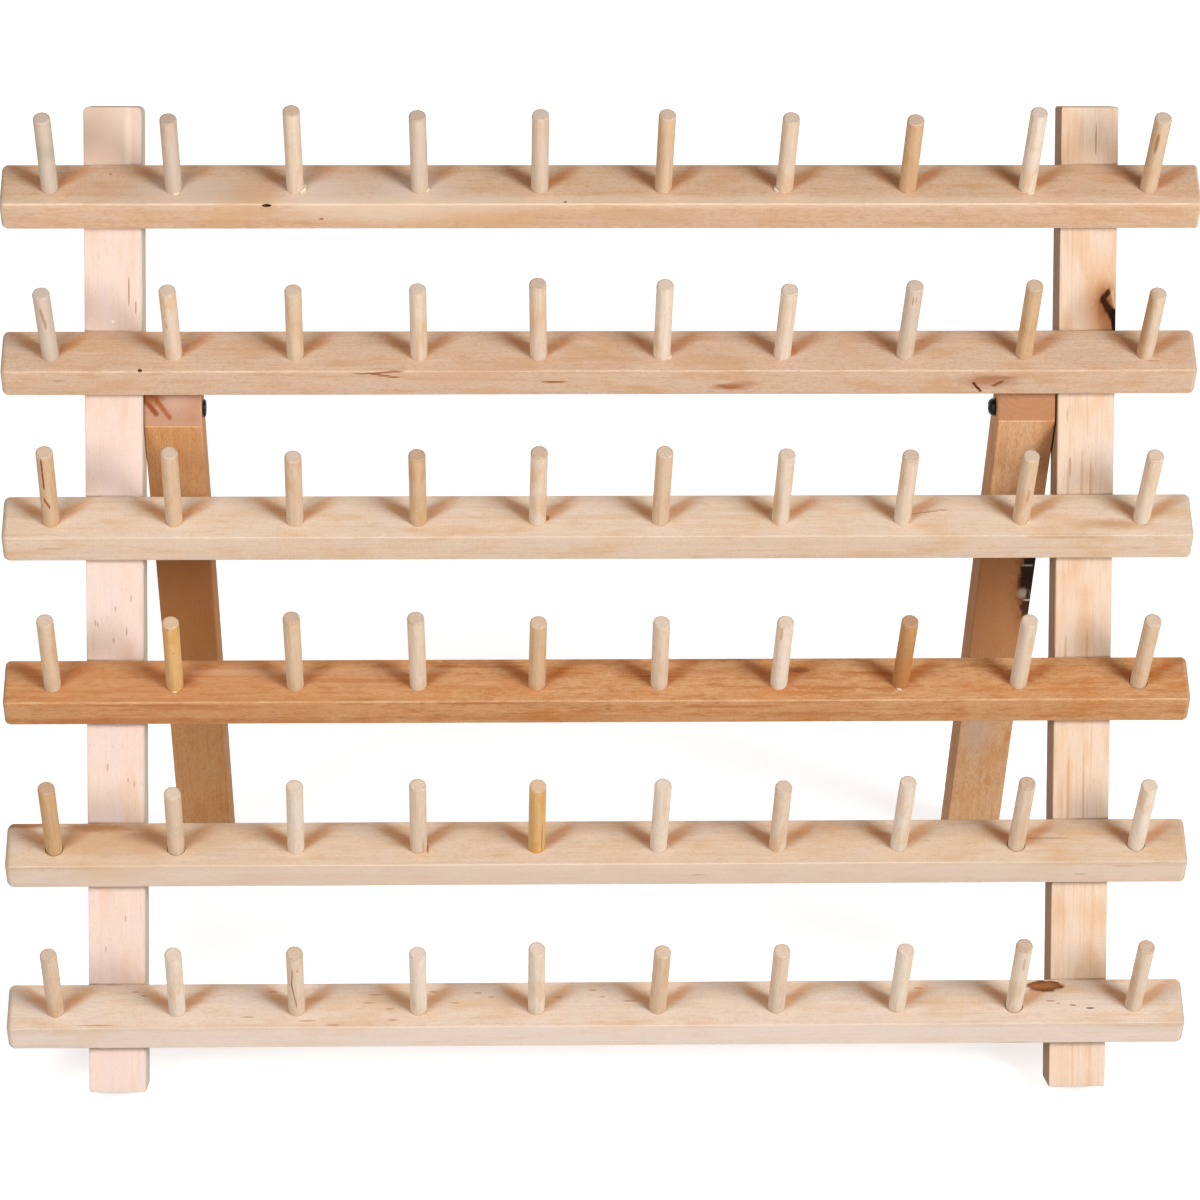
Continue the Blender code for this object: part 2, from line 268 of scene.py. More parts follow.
class Recipe:
    """A material or world whose nodes are written as expressions."""

    def __init__(self, owner):
        owner.use_nodes = True
        self.owner = owner
        self.tree = owner.node_tree
        self.output = next(node for node in self.tree.nodes if node.type.startswith("OUTPUT"))
        self.shader = self.output.inputs["Surface"].links[0].from_node

    def feed(self, socket, value):
        if isinstance(value, Value):
            self.tree.links.new(value.socket, socket)
        elif isinstance(value, (tuple, list)) and len(value) == 3 and len(socket.default_value) == 4:
            socket.default_value = (*value, 1)
        else:
            socket.default_value = value

    def node(self, kind, settings, inputs, outlet=0):
        made = self.tree.nodes.new("ShaderNode" + kind)
        for name, value in settings.items():
            setattr(made, name, value)
        for key, value in inputs.items():
            self.feed(made.inputs[key], value)
        return Value(self, made.outputs[outlet])

    def math(self, operation, *values):
        return self.node("Math", {"operation": operation}, dict(enumerate(values)))

    def vector(self, operation, *values):
        outlet = "Value" if operation == "LENGTH" else "Vector"
        return self.node("VectorMath", {"operation": operation}, dict(enumerate(values)), outlet)

    def mix(self, factor, first, second, blend="MIX"):
        settings = {"data_type": "RGBA", "blend_type": blend, "clamp_factor": True}
        return self.node("Mix", settings, {0: factor, 6: first, 7: second}, 2)

    def tinted(self, color, tint):
        if isinstance(color, Value):
            return self.mix(1.0, color, tint, "MULTIPLY")
        return tuple(part * share for part, share in zip(color, tint))

    def attribute(self, name, outlet="Fac"):
        return self.node("Attribute", {"attribute_type": "GEOMETRY", "attribute_name": name}, {}, outlet)

    def ramp(self, value, low, high):
        """0 below low and 1 above high, or the reverse where low is the larger, with a soft passage."""
        inputs = {"Value": value, "From Min": low, "From Max": high}
        return self.node("MapRange", {"interpolation_type": "SMOOTHSTEP"}, inputs)

    def noise(self, place, size_mm, detail=2.0, roughness=0.5, distortion=0.0):
        """Smooth noise from 0 to 1 whose features are about size_mm along, across and deep."""
        scaled = self.vector("DIVIDE", place, size_mm)
        inputs = {"Vector": scaled, "Scale": 1.0, "Detail": detail, "Roughness": roughness,
                  "Distortion": distortion}
        return self.node("TexNoise", {}, inputs)

    def cloud(self, scale, detail):
        """Smooth noise from 0 to 1 on Object coordinates, finer as scale rises."""
        place = self.node("TexCoord", {}, {}, "Object")
        return self.node("TexNoise", {}, {"Vector": place, "Scale": scale, "Detail": detail})

    def shown(self):
        """1 for what the camera sees, straight or in metal or glass, and 0 for what lights the rack."""
        seen = self.node("LightPath", {}, {}, "Is Camera Ray")
        for other in ("Is Glossy Ray", "Is Transmission Ray"):
            seen = self.math("MAXIMUM", seen, self.node("LightPath", {}, {}, other))
        return seen

    def shade(self, inputs):
        """Feeds the shader that the material or world came with."""
        for name, value in inputs.items():
            self.feed(self.shader.inputs[name], value)
        return self.owner

    def add_shader(self, kind, inputs):
        """Puts an Add or Mix Shader before the output; None stands for the shader that is there."""
        own = Value(self, self.shader.outputs[0])
        filled = {key: own if value is None else value for key, value in inputs.items()}
        self.feed(self.output.inputs["Surface"], self.node(kind, {}, filled))


def material_recipe(name):
    return Recipe(bpy.data.materials.new(name))


def scaled_color(color, factor):
    return tuple(min(1.0, part * factor) for part in color)


def mark(at, size, color, strength, soft=0.15, ragged=0.5, deep=False):
    """A knot, stain, dash or split, or a patch of painted light or shade; place and half sizes are in mm in
    board coordinates.
    """
    return dict(at=at, size=size, color=color, strength=strength, soft=soft, ragged=ragged, deep=deep)


def trail(start, end, steps, size, color, strength, **rest):
    """A streak of marks that run into each other from one place to another."""
    start, end = Vector(start), Vector(end)
    places = [start.lerp(end, step / (steps - 1)) for step in range(steps)]
    return [mark(tuple(place), size, color, strength, **rest) for place in places]


def mark_mask(recipe, board, wander, spot):
    """1 inside an ellipsoid placed on the board, with an uneven rim."""
    offset = recipe.vector("SUBTRACT", board, spot["at"])
    reach = recipe.vector("LENGTH", recipe.vector("DIVIDE", offset, spot["size"]))
    reach = reach + (wander - 0.5) * spot["ragged"]
    return recipe.ramp(reach, 1.0 + spot["soft"], 1.0 - spot["soft"]) * spot["strength"]


def painted_peg_shadow_mask(recipe, along, across, depth, blotch):
    """1 where the pegs' shadows are painted on the rail, in a V from each peg's foot to the back edge."""
    setback, slope = 11.0, 0.68
    pitch = (PEG_PLACES[1] - PEG_PLACES[0]) * PER_MM
    to_peg = recipe.math("PINGPONG", along - PEG_PLACES[0] * PER_MM, pitch / 2)
    off_line = recipe.math("ABSOLUTE", across + setback - to_peg * slope)
    near_line = recipe.ramp(off_line + (blotch - 0.5) * 3.0, 4.2, 0.8)
    near_peg = recipe.ramp(to_peg, 17.0, 7.0)
    past_foot = recipe.ramp(to_peg, 1.0, 3.5)
    on_top = recipe.ramp(depth, -1.2, -0.4)
    return near_line * near_peg * past_foot * on_top


def make_wood(name, base, look, marks=(), seed=0):
    """Solid wood in board coordinates: growth rings round a pith line, fibres, flecks, blotches and marks.

    base is a colour, or a pair of colours between which the piece's own tone chooses.
    """
    colors = bpy.context.scene.rack_colors
    recipe = material_recipe(name)
    board = recipe.attribute("board_mm", "Vector")
    end = recipe.attribute("cut_end")
    worn = recipe.attribute("worn_edge")
    shifted = recipe.vector("ADD", board, (seed * 331.0, seed * 17.0, seed * 23.0))
    split = recipe.node("SeparateXYZ", {}, {0: board}).socket.node
    along, across, depth = (Value(recipe, split.outputs[index]) for index in range(3))

    blotch = recipe.noise(shifted, look["blotch_mm"], 2.0, 0.55)
    streak = recipe.noise(shifted, look["streak_mm"], 3.0, 0.6, 0.3)
    fibre = recipe.noise(shifted, (14.0, 0.35, 0.35), 2.0, 0.6)
    fuzz = recipe.noise(shifted, (1.6, 0.45, 0.45), 1.0, 0.5)
    wander = recipe.noise(shifted, (3.0, 1.2, 1.2), 2.0)
    sway = recipe.noise(shifted, look["sway_mm"], 1.5, 0.4)

    pith_across, pith_depth = look["pith_mm"]
    from_pith = recipe.node("CombineXYZ", {}, {
        0: 0.0,
        1: across - pith_across + (sway - 0.5) * look["sway_depth"],
        2: depth - pith_depth + along * look["rise"],
    })
    radius = recipe.vector("LENGTH", from_pith) + (streak - 0.5) * 1.4 + (wander - 0.5) * 0.3
    ring = recipe.math("SINE", radius * (2 * math.pi / look["ring_mm"])) * 0.5 + 0.5
    ring = ring ** 2.5
    patch = recipe.ramp(sway * 0.5 + blotch * 0.5, 0.42, 0.62)

    pale = recipe.mix(recipe.attribute("tone"), *base) if len(base) == 2 else tuple(base)
    warm, cool, grain = (recipe.tinted(pale, look[tint]) for tint in ("warm", "cool", "grain"))

    color = recipe.mix(recipe.ramp(blotch, 0.50, 0.70) * look["warmth"], pale, warm)
    color = recipe.mix(recipe.ramp(blotch, 0.48, 0.32) * look["coolness"], color, cool)
    color = recipe.mix(recipe.ramp(streak, 0.5, 0.72) * look["streaks"], color, grain)
    mottle = recipe.noise(shifted, (7.0, 2.4, 2.4), 3.0, 0.7)
    color = recipe.mix(recipe.ramp(mottle, 0.5, 0.72) * look["mottle"], color, grain)
    color = recipe.mix(recipe.ramp(mottle, 0.5, 0.3) * look["mottle"] * 1.5, color, cool)
    color = recipe.mix(ring * (patch * look["rings"] + end * look["end_rings"]), color, grain)
    fleck = recipe.noise(shifted, look["fleck_mm"], 1.0, 0.5)
    color = recipe.mix(recipe.ramp(fleck, 0.69, 0.80) * look["flecks"], color, tuple(colors.grain))
    color = recipe.mix(recipe.ramp(fibre, 0.45, 0.85) * look["fibres"], color, grain)
    color = recipe.mix(recipe.ramp(fuzz, 0.45, 0.75) * look["fuzz"], color, grain)
    color = recipe.mix(end * look["end_shade"], color, look["end_color"])
    rubbed = recipe.noise(shifted, (5.0, 0.8, 0.8), 2.0, 0.6)
    # Eased edges: wear, and along the rails' ridges a painted highlight.
    color = recipe.mix(worn * recipe.ramp(rubbed, 0.3, 0.6) * look["worn"], color, look["wear_and_sheen_color"])
    sawn = recipe.math("SINE", (along + (wander - 0.5) * 2.0) * (2 * math.pi / 1.4)) * 0.5 + 0.5
    color = recipe.mix(sawn * recipe.ramp(blotch, 0.35, 0.6) * look["saw_marks"], color, grain)
    if "stained_tips" in look:
        stain = recipe.attribute("tip_stain") * recipe.math("MAXIMUM", end * rubbed * 1.1, worn * 0.5)
        color = recipe.mix(stain, color, look["stained_tips"])
    # Painted shadow: the rail darkened and browned in a V behind each peg.
    if look["peg_grime"] > 0:
        grime = painted_peg_shadow_mask(recipe, along, across, depth, blotch) * look["peg_grime"]
        color = recipe.mix(grime, color, recipe.tinted(color, PAINTED_PEG_SHADOW_TINT))
    dark = None
    for spot in marks:
        mask = mark_mask(recipe, board, wander, spot)
        color = recipe.mix(mask, color, spot["color"])
        if spot["deep"]:
            dark = mask if dark is None else recipe.math("MAXIMUM", dark, mask)

    height = fibre * 0.5 + streak * 0.3 - ring * 0.25
    if dark is not None:
        height = height - dark * 1.5
    bump = recipe.node("Bump", {}, {"Height": height, "Strength": look["bump"], "Distance": 0.0002})
    return recipe.shade({
        "Base Color": color,
        "Roughness": 0.55 + fibre * 0.16 + end * 0.12,
        "Specular IOR Level": 0.04,
        "Normal": bump,
    })


# How much of the rails' colour the painted peg shadows leave
PAINTED_PEG_SHADOW_TINT = (0.84, 0.50, 0.26)
# How each wood looks: sizes of its features in mm, tints of its own colour, and how strong each feature is
# In this look the rails' eased ridges are lighter, a painted highlight.
RAIL_LOOK = {
    "blotch_mm": (24.0, 8.0, 8.0), "streak_mm": (60.0, 1.8, 1.8), "sway_mm": (90.0, 30.0, 30.0),
    "fleck_mm": (3.0, 0.5, 0.5), "pith_mm": (14.0, -42.0), "rise": 0.012, "sway_depth": 9.0, "ring_mm": 2.6,
    "warm": (0.95, 0.83, 0.70), "cool": (0.96, 0.99, 1.06), "grain": (0.80, 0.64, 0.50),
    "warmth": 0.9, "coolness": 0.8, "streaks": 0.4, "rings": 0.14, "end_rings": 0.35, "flecks": 0.3,
    "fibres": 0.55, "fuzz": 0.55, "end_shade": 0.2, "end_color": (0.60, 0.40, 0.25),
    "worn": 0.2, "wear_and_sheen_color": (0.85, 0.66, 0.50), "saw_marks": 0.12,
    "mottle": 0.35, "bump": 0.35, "peg_grime": 0.7,
}
RUBBED_RAIL_LOOK = dict(RAIL_LOOK, worn=0.45, wear_and_sheen_color=(0.80, 0.66, 0.54), mottle=0.5)
SMOOTH_RAIL_LOOK = dict(RAIL_LOOK, worn=0.55, wear_and_sheen_color=(0.62, 0.48, 0.37), streaks=0.28, fibres=0.4,
                        fuzz=0.35)
DARK_RAIL_LOOK = dict(RAIL_LOOK, streaks=1.0, fibres=0.7, mottle=0.8, worn=0.35,
                      wear_and_sheen_color=(0.70, 0.48, 0.29), warm=(0.98, 0.78, 0.60), cool=(1.06, 1.08, 1.12),
                      grain=(0.76, 0.56, 0.42), end_color=(0.42, 0.20, 0.08))
RAIL_LOOKS = {1: RUBBED_RAIL_LOOK, 2: RAIL_LOOK, 3: SMOOTH_RAIL_LOOK, 4: DARK_RAIL_LOOK, 5: SMOOTH_RAIL_LOOK,
              6: SMOOTH_RAIL_LOOK}
LEFT_POST_LOOK = dict(RAIL_LOOK, peg_grime=0.0, pith_mm=(20.0, 60.0), rise=0.006, rings=0.05, streaks=0.12,
                      warmth=0.6, fibres=0.25, fuzz=0.16, worn=0.0, fleck_mm=(2.4, 0.55, 0.55),
                      saw_marks=0.05, mottle=0.12)
RIGHT_POST_LOOK = dict(LEFT_POST_LOOK, pith_mm=(3.0, 70.0), rings=0.4, ring_mm=1.4, sway_depth=5.0,
                       sway_mm=(50.0, 14.0, 14.0), streaks=0.55, streak_mm=(40.0, 1.0, 1.0), fibres=0.5,
                       warmth=0.9, grain=(0.84, 0.66, 0.50))
POST_LOOKS = {"left": LEFT_POST_LOOK, "right": RIGHT_POST_LOOK}
LEFT_LEG_LOOK = dict(RAIL_LOOK, peg_grime=0.0, pith_mm=(-60.0, 12.0), rise=0.004, rings=0.16, ring_mm=1.5,
                     end_rings=0.15, streaks=0.25, worn=0.5, wear_and_sheen_color=(0.66, 0.42, 0.25),
                     grain=(0.74, 0.55, 0.38), fibres=0.5, mottle=0.45, end_shade=0.85,
                     end_color=(0.42, 0.235, 0.16))
RIGHT_LEG_LOOK = dict(LEFT_LEG_LOOK, pith_mm=(1.0, 9.0), rise=0.0, ring_mm=1.6, end_rings=0.4,
                      sway_mm=(30.0, 16.0, 16.0), sway_depth=4.0, streaks=0.35, end_shade=0.8, worn=0.15,
                      end_color=(0.345, 0.155, 0.078))
LEG_LOOKS = {"left": LEFT_LEG_LOOK, "right": RIGHT_LEG_LOOK}
PEG_LOOK = dict(RAIL_LOOK, peg_grime=0.0, blotch_mm=(14.0, 6.0, 6.0), streak_mm=(40.0, 1.2, 1.2),
                pith_mm=(30.0, 25.0), rings=0.15, ring_mm=1.6, end_rings=0.12, flecks=0.25, worn=0.5,
                wear_and_sheen_color=(0.47, 0.33, 0.22), saw_marks=0.0, fibres=0.35, fuzz=0.2, mottle=0.25,
                end_shade=0.5, end_color=(0.60, 0.49, 0.41), stained_tips=(0.36, 0.19, 0.095))

# Reddish flecks in the middle of the lowest rail, as along, across and length in mm
LOWEST_RAIL_FLECKS = (
    (-172.6, -0.4, 6.0), (-164.3, -3.4, 3.0), (-161.4, -5.1, 2.4), (-115.6, -3.7, 3.0), (-81.1, -8.6, 5.0),
    (-73.9, -11.2, 3.0), (-79.0, -5.2, 4.5), (-58.7, -4.1, 3.0), (-50.8, -8.8, 3.4), (-42.6, -4.6, 2.6),
    (-37.7, -6.4, 2.2), (-124.2, -14.3, 4.5), (-102.9, -16.1, 5.5), (-94.0, -17.9, 5.0), (-72.8, -15.9, 3.0),
    (-19.5, -10.7, 3.4), (-14.1, -6.5, 2.6), (-1.6, -3.6, 3.0), (1.9, -6.6, 2.4), (11.5, -8.4, 4.6),
    (114.7, -3.5, 3.0),
)


def rail_marks(colors):
    """Knots, pin holes, stains and small splits of each rail, and painted light on the front faces of rails 5
    and 6; a place is along, across and deep, in mm.
    """
    knot, brown = tuple(colors.knot), tuple(colors.grain)
    red_brown = (0.30, 0.11, 0.04)
    return {
        1: [
            mark((0.0, -17.6, 0.0), (240.0, 2.4, 2.5), (0.74, 0.57, 0.42), 0.5, soft=0.7, ragged=1.2),
            mark((-98.0, -12.5, 0.0), (12.0, 6.5, 6.0), (0.66, 0.54, 0.46), 0.65, soft=0.8),
            mark((-66.0, -11.0, 0.0), (15.0, 6.0, 5.0), (0.64, 0.53, 0.45), 0.6, soft=0.8),
            mark((-78.0, -19.0, -4.0), (24.0, 3.0, 5.0), (0.70, 0.54, 0.41), 0.65, soft=0.8),
            mark((-123.0, -15.0, -1.0), (8.0, 5.0, 5.0), (0.56, 0.33, 0.17), 0.6, soft=0.8, ragged=0.9),
            mark((-131.0, -19.0, -6.5), (8.0, 3.0, 4.0), (0.60, 0.38, 0.21), 0.5, soft=0.8, ragged=0.9),
            mark((-145.0, -11.0, 0.0), (13.0, 5.0, 4.0), (0.62, 0.50, 0.42), 0.55, soft=0.8),
            mark((-44.0, -17.5, -3.0), (12.0, 4.0, 4.0), (0.66, 0.52, 0.40), 0.5, soft=0.8),
            mark((-41.0, -19.0, -7.5), (15.0, 3.0, 3.5), (0.60, 0.35, 0.17), 0.6, soft=0.9, ragged=1.1),
            mark((-150.0, -12.0, 0.0), (26.0, 7.0, 3.0), (0.55, 0.42, 0.34), 0.3, soft=0.6),
            mark((20.0, -19.0, -7.0), (22.0, 2.0, 4.0), (0.52, 0.34, 0.21), 0.4, soft=0.6, ragged=1.0),
            mark((-116.7, -19.0, -0.7), (1.7, 0.8, 0.7), (0.05, 0.013, 0.004), 1.0),
            mark((-97.9, -19.0, -7.5), (0.8, 0.5, 0.45), red_brown, 0.9),
            mark((-171.4, -4.6, 0.0), (0.5, 0.5, 0.5), red_brown, 0.6, deep=True),
            mark((-13.0, -18.0, 0.0), (0.6, 0.5, 0.5), red_brown, 0.9),
        ],
        2: [
            mark((-160.8, -18.3, 0.0), (0.8, 0.7, 0.7), (0.09, 0.028, 0.01), 1.0, deep=True),
            *trail((-83.6, -19.0, -1.2), (-72.0, -18.9, -0.3), 4, (2.8, 0.8, 0.4), (0.32, 0.125, 0.045), 0.9,
                   soft=0.4),
            *trail((-78.5, -19.0, -1.5), (-72.6, -19.0, -3.0), 3, (2.1, 0.8, 0.45), (0.27, 0.09, 0.03), 0.95,
                   soft=0.4),
            mark((-16.4, -19.0, -5.7), (4.2, 0.8, 0.5), (0.30, 0.115, 0.04), 1.0, soft=0.4),
            mark((-48.0, -19.0, -2.0), (17.0, 2.5, 3.0), (0.56, 0.34, 0.20), 0.5, soft=0.8, ragged=1.0),
            mark((147.8, -13.6, 0.0), (2.2, 0.3, 0.5), brown, 0.5),
            mark((45.6, -19.0, -8.4), (5.6, 1.4, 1.6), (0.34, 0.12, 0.05), 0.95, soft=0.7, ragged=1.0),
            mark((50.5, -19.0, -6.6), (4.6, 1.4, 1.4), (0.44, 0.22, 0.12), 0.75, soft=0.8, ragged=1.0),
            mark((67.3, -9.6, 0.0), (1.7, 2.0, 1.0), (0.44, 0.16, 0.06), 0.75, soft=0.6, ragged=0.9),
            mark((-189.1, -19.0, -4.8), (2.4, 0.8, 0.35), brown, 0.6),
            mark((136.2, -19.0, -5.3), (8.4, 2.5, 2.9), (0.38, 0.16, 0.08), 0.85, soft=0.8, ragged=0.9),
            *trail((131.0, -19.0, -6.8), (133.6, -19.0, -10.8), 6, (0.6, 1.5, 0.6), (0.10, 0.026, 0.01), 1.0,
                   soft=0.4, ragged=0.8),
            *trail((140.6, -19.0, -5.9), (138.2, -19.0, -8.1), 5, (0.8, 1.5, 0.5), (0.20, 0.06, 0.02), 0.85,
                   soft=0.6, ragged=0.9),
            mark((139.5, -19.0, -3.9), (5.2, 1.5, 0.8), (0.36, 0.15, 0.07), 0.7, soft=0.7, ragged=0.9),
            mark((194.0, -14.5, 0.0), (2.6, 0.3, 0.6), brown, 0.6),
            mark((-192.0, -14.0, 0.0), (6.0, 3.0, 4.0), (0.46, 0.28, 0.17), 0.4, soft=0.7),
        ],
        3: [
            mark((20.0, -10.0, 0.0), (60.0, 1.1, 3.0), (0.58, 0.38, 0.24), 0.35, soft=0.5),
            mark((190.0, -19.0, -7.0), (3.0, 0.8, 0.3), brown, 0.45),
            *trail((111.0, -8.8, 0.0), (121.0, -7.2, 0.0), 4, (2.2, 0.28, 0.5), brown, 0.65, soft=0.4),
            mark((182.0, -13.8, 0.0), (12.0, 1.9, 2.5), (0.47, 0.28, 0.14), 0.85, soft=0.8, ragged=1.0),
            mark((166.0, -18.6, -0.8), (14.0, 0.9, 0.9), (0.47, 0.29, 0.16), 0.7, soft=0.7, ragged=1.0),
            mark((-192.1, -19.0, -5.9), (5.0, 0.8, 0.3), brown, 0.5),
            mark((-18.4, -10.4, 0.0), (0.8, 1.2, 0.6), (0.34, 0.13, 0.05), 0.85),
            mark((192.0, -13.9, 0.0), (0.8, 0.45, 0.5), brown, 0.8),
        ],
        4: [
            mark((-170.0, -14.0, 0.0), (30.0, 0.9, 3.0), (0.40, 0.16, 0.05), 0.5, soft=0.5),
            mark((-120.0, -17.5, 0.0), (70.0, 1.0, 2.0), (0.42, 0.18, 0.06), 0.4, soft=0.5),
            mark((-165.0, -19.0, -10.5), (60.0, 2.0, 1.6), (0.36, 0.13, 0.04), 0.5, soft=0.6, ragged=1.0),
            mark((-40.0, -19.0, -9.5), (40.0, 2.0, 1.2), (0.40, 0.16, 0.05), 0.4, soft=0.6, ragged=1.0),
            mark((-150.0, -9.0, -2.0), (70.0, 9.0, 8.0), (0.50, 0.22, 0.095), 0.5, soft=0.9),
            mark((-120.0, -5.5, 0.0), (26.0, 1.2, 2.0), (0.62, 0.36, 0.22), 0.5, soft=0.7, ragged=1.1),
            mark((-92.0, -9.5, 0.0), (24.0, 0.9, 2.0), (0.40, 0.155, 0.06), 0.5, soft=0.7, ragged=1.1),
            mark((-70.0, -5.0, 0.0), (22.0, 1.2, 2.0), (0.60, 0.35, 0.21), 0.5, soft=0.7, ragged=1.1),
            mark((-56.0, -12.5, 0.0), (20.0, 0.8, 2.0), (0.42, 0.17, 0.06), 0.45, soft=0.7, ragged=1.1),
            mark((-145.0, -10.4, 0.0), (3.6, 1.6, 1.0), (0.34, 0.11, 0.04), 0.65, soft=0.7, ragged=1.0),
            mark((43.0, -6.2, 0.0), (10.0, 1.2, 1.5), (0.40, 0.16, 0.06), 0.5, soft=0.7, ragged=1.1),
            mark((70.0, -5.4, 0.0), (5.2, 1.3, 1.0), (0.15, 0.045, 0.015), 0.85, soft=0.6, ragged=1.2),
            mark((64.0, -4.6, 0.0), (10.0, 1.8, 1.5), (0.38, 0.15, 0.05), 0.55, soft=0.8, ragged=1.1),
            mark((3.2, -19.0, -4.5), (1.0, 0.8, 0.6), (0.40, 0.14, 0.05), 0.7),
        ],
        5: [
            # Painted light: the front face paler and greyer.
            mark((0.0, -19.0, -7.2), (260.0, 0.9, 7.6), (0.82, 0.70, 0.61), 0.38, soft=0.2, ragged=0.1),
            mark((-170.0, -7.0, 0.0), (24.0, 7.0, 4.0), (0.53, 0.31, 0.16), 0.7, soft=0.8, ragged=0.9),
            mark((-177.0, -2.2, 0.0), (10.0, 1.6, 2.0), (0.36, 0.15, 0.06), 0.75, soft=0.7, ragged=1.1),
            mark((-158.0, -5.6, 0.0), (5.0, 3.0, 3.0), (0.42, 0.22, 0.11), 0.65, soft=0.8, ragged=1.4),
            mark((-139.0, -8.0, 0.0), (10.0, 4.0, 4.0), (0.54, 0.34, 0.19), 0.55, soft=0.8, ragged=1.0),
            mark((-172.0, -19.0, -4.5), (12.0, 3.0, 5.0), (0.66, 0.47, 0.31), 0.6, soft=0.8, ragged=0.9),
            mark((-60.4, -12.0, 0.0), (0.4, 1.9, 0.5), brown, 0.9, ragged=1.0),
            mark((35.5, -19.0, -6.8), (3.0, 0.8, 0.3), brown, 0.5),
            mark((186.5, -19.0, -2.5), (4.0, 0.8, 0.3), brown, 0.5),
            mark((158.6, -8.5, 0.0), (9.0, 0.3, 0.6), brown, 0.6, deep=True),
            mark((171.6, -19.0, -7.4), (2.6, 0.8, 0.4), brown, 0.45),
            mark((-203.0, -0.8, 0.0), (9.0, 1.4, 1.6), (0.30, 0.11, 0.04), 0.8, soft=0.5),
            mark((-165.0, -6.0, 0.0), (3.5, 1.3, 1.0), (0.42, 0.26, 0.16), 0.5, soft=0.6, ragged=1.2),
        ],
        6: [
            # Painted light: the front face paler and greyer.
            mark((0.0, -19.0, -7.2), (260.0, 0.9, 7.6), (0.86, 0.74, 0.66), 0.38, soft=0.2, ragged=0.1),
            mark((160.3, -3.0, 0.0), (6.6, 2.3, 2.0), (0.15, 0.05, 0.018), 1.0, ragged=0.7),
            mark((159.9, -3.0, 0.0), (5.2, 1.4, 2.0), (0.31, 0.125, 0.045), 0.95, soft=0.5, ragged=0.8),
            mark((161.8, -9.4, 0.0), (1.7, 0.22, 0.5), brown, 0.9),
            mark((164.6, -10.4, 0.0), (0.8, 0.22, 0.5), brown, 0.8),
            mark((169.7, -11.2, 0.0), (1.2, 0.22, 0.5), knot, 0.8),
            mark((175.8, -12.5, 0.0), (1.5, 0.3, 0.5), knot, 0.9),
            *[mark((along, across, 0.0), (long / 2, 0.28, 0.6), (0.40, 0.17, 0.07), 0.75, soft=0.4,
                   ragged=0.9) for along, across, long in LOWEST_RAIL_FLECKS],
            mark((-66.0, -7.0, 0.0), (16.0, 3.0, 2.0), (0.58, 0.37, 0.22), 0.4, soft=0.9, ragged=1.2),
            mark((-178.0, -17.5, 0.0), (7.0, 0.25, 0.5), brown, 0.5),
            mark((149.0, -19.0, -12.5), (8.0, 1.0, 0.8), (0.42, 0.22, 0.12), 0.6, soft=0.4),
        ],
    }


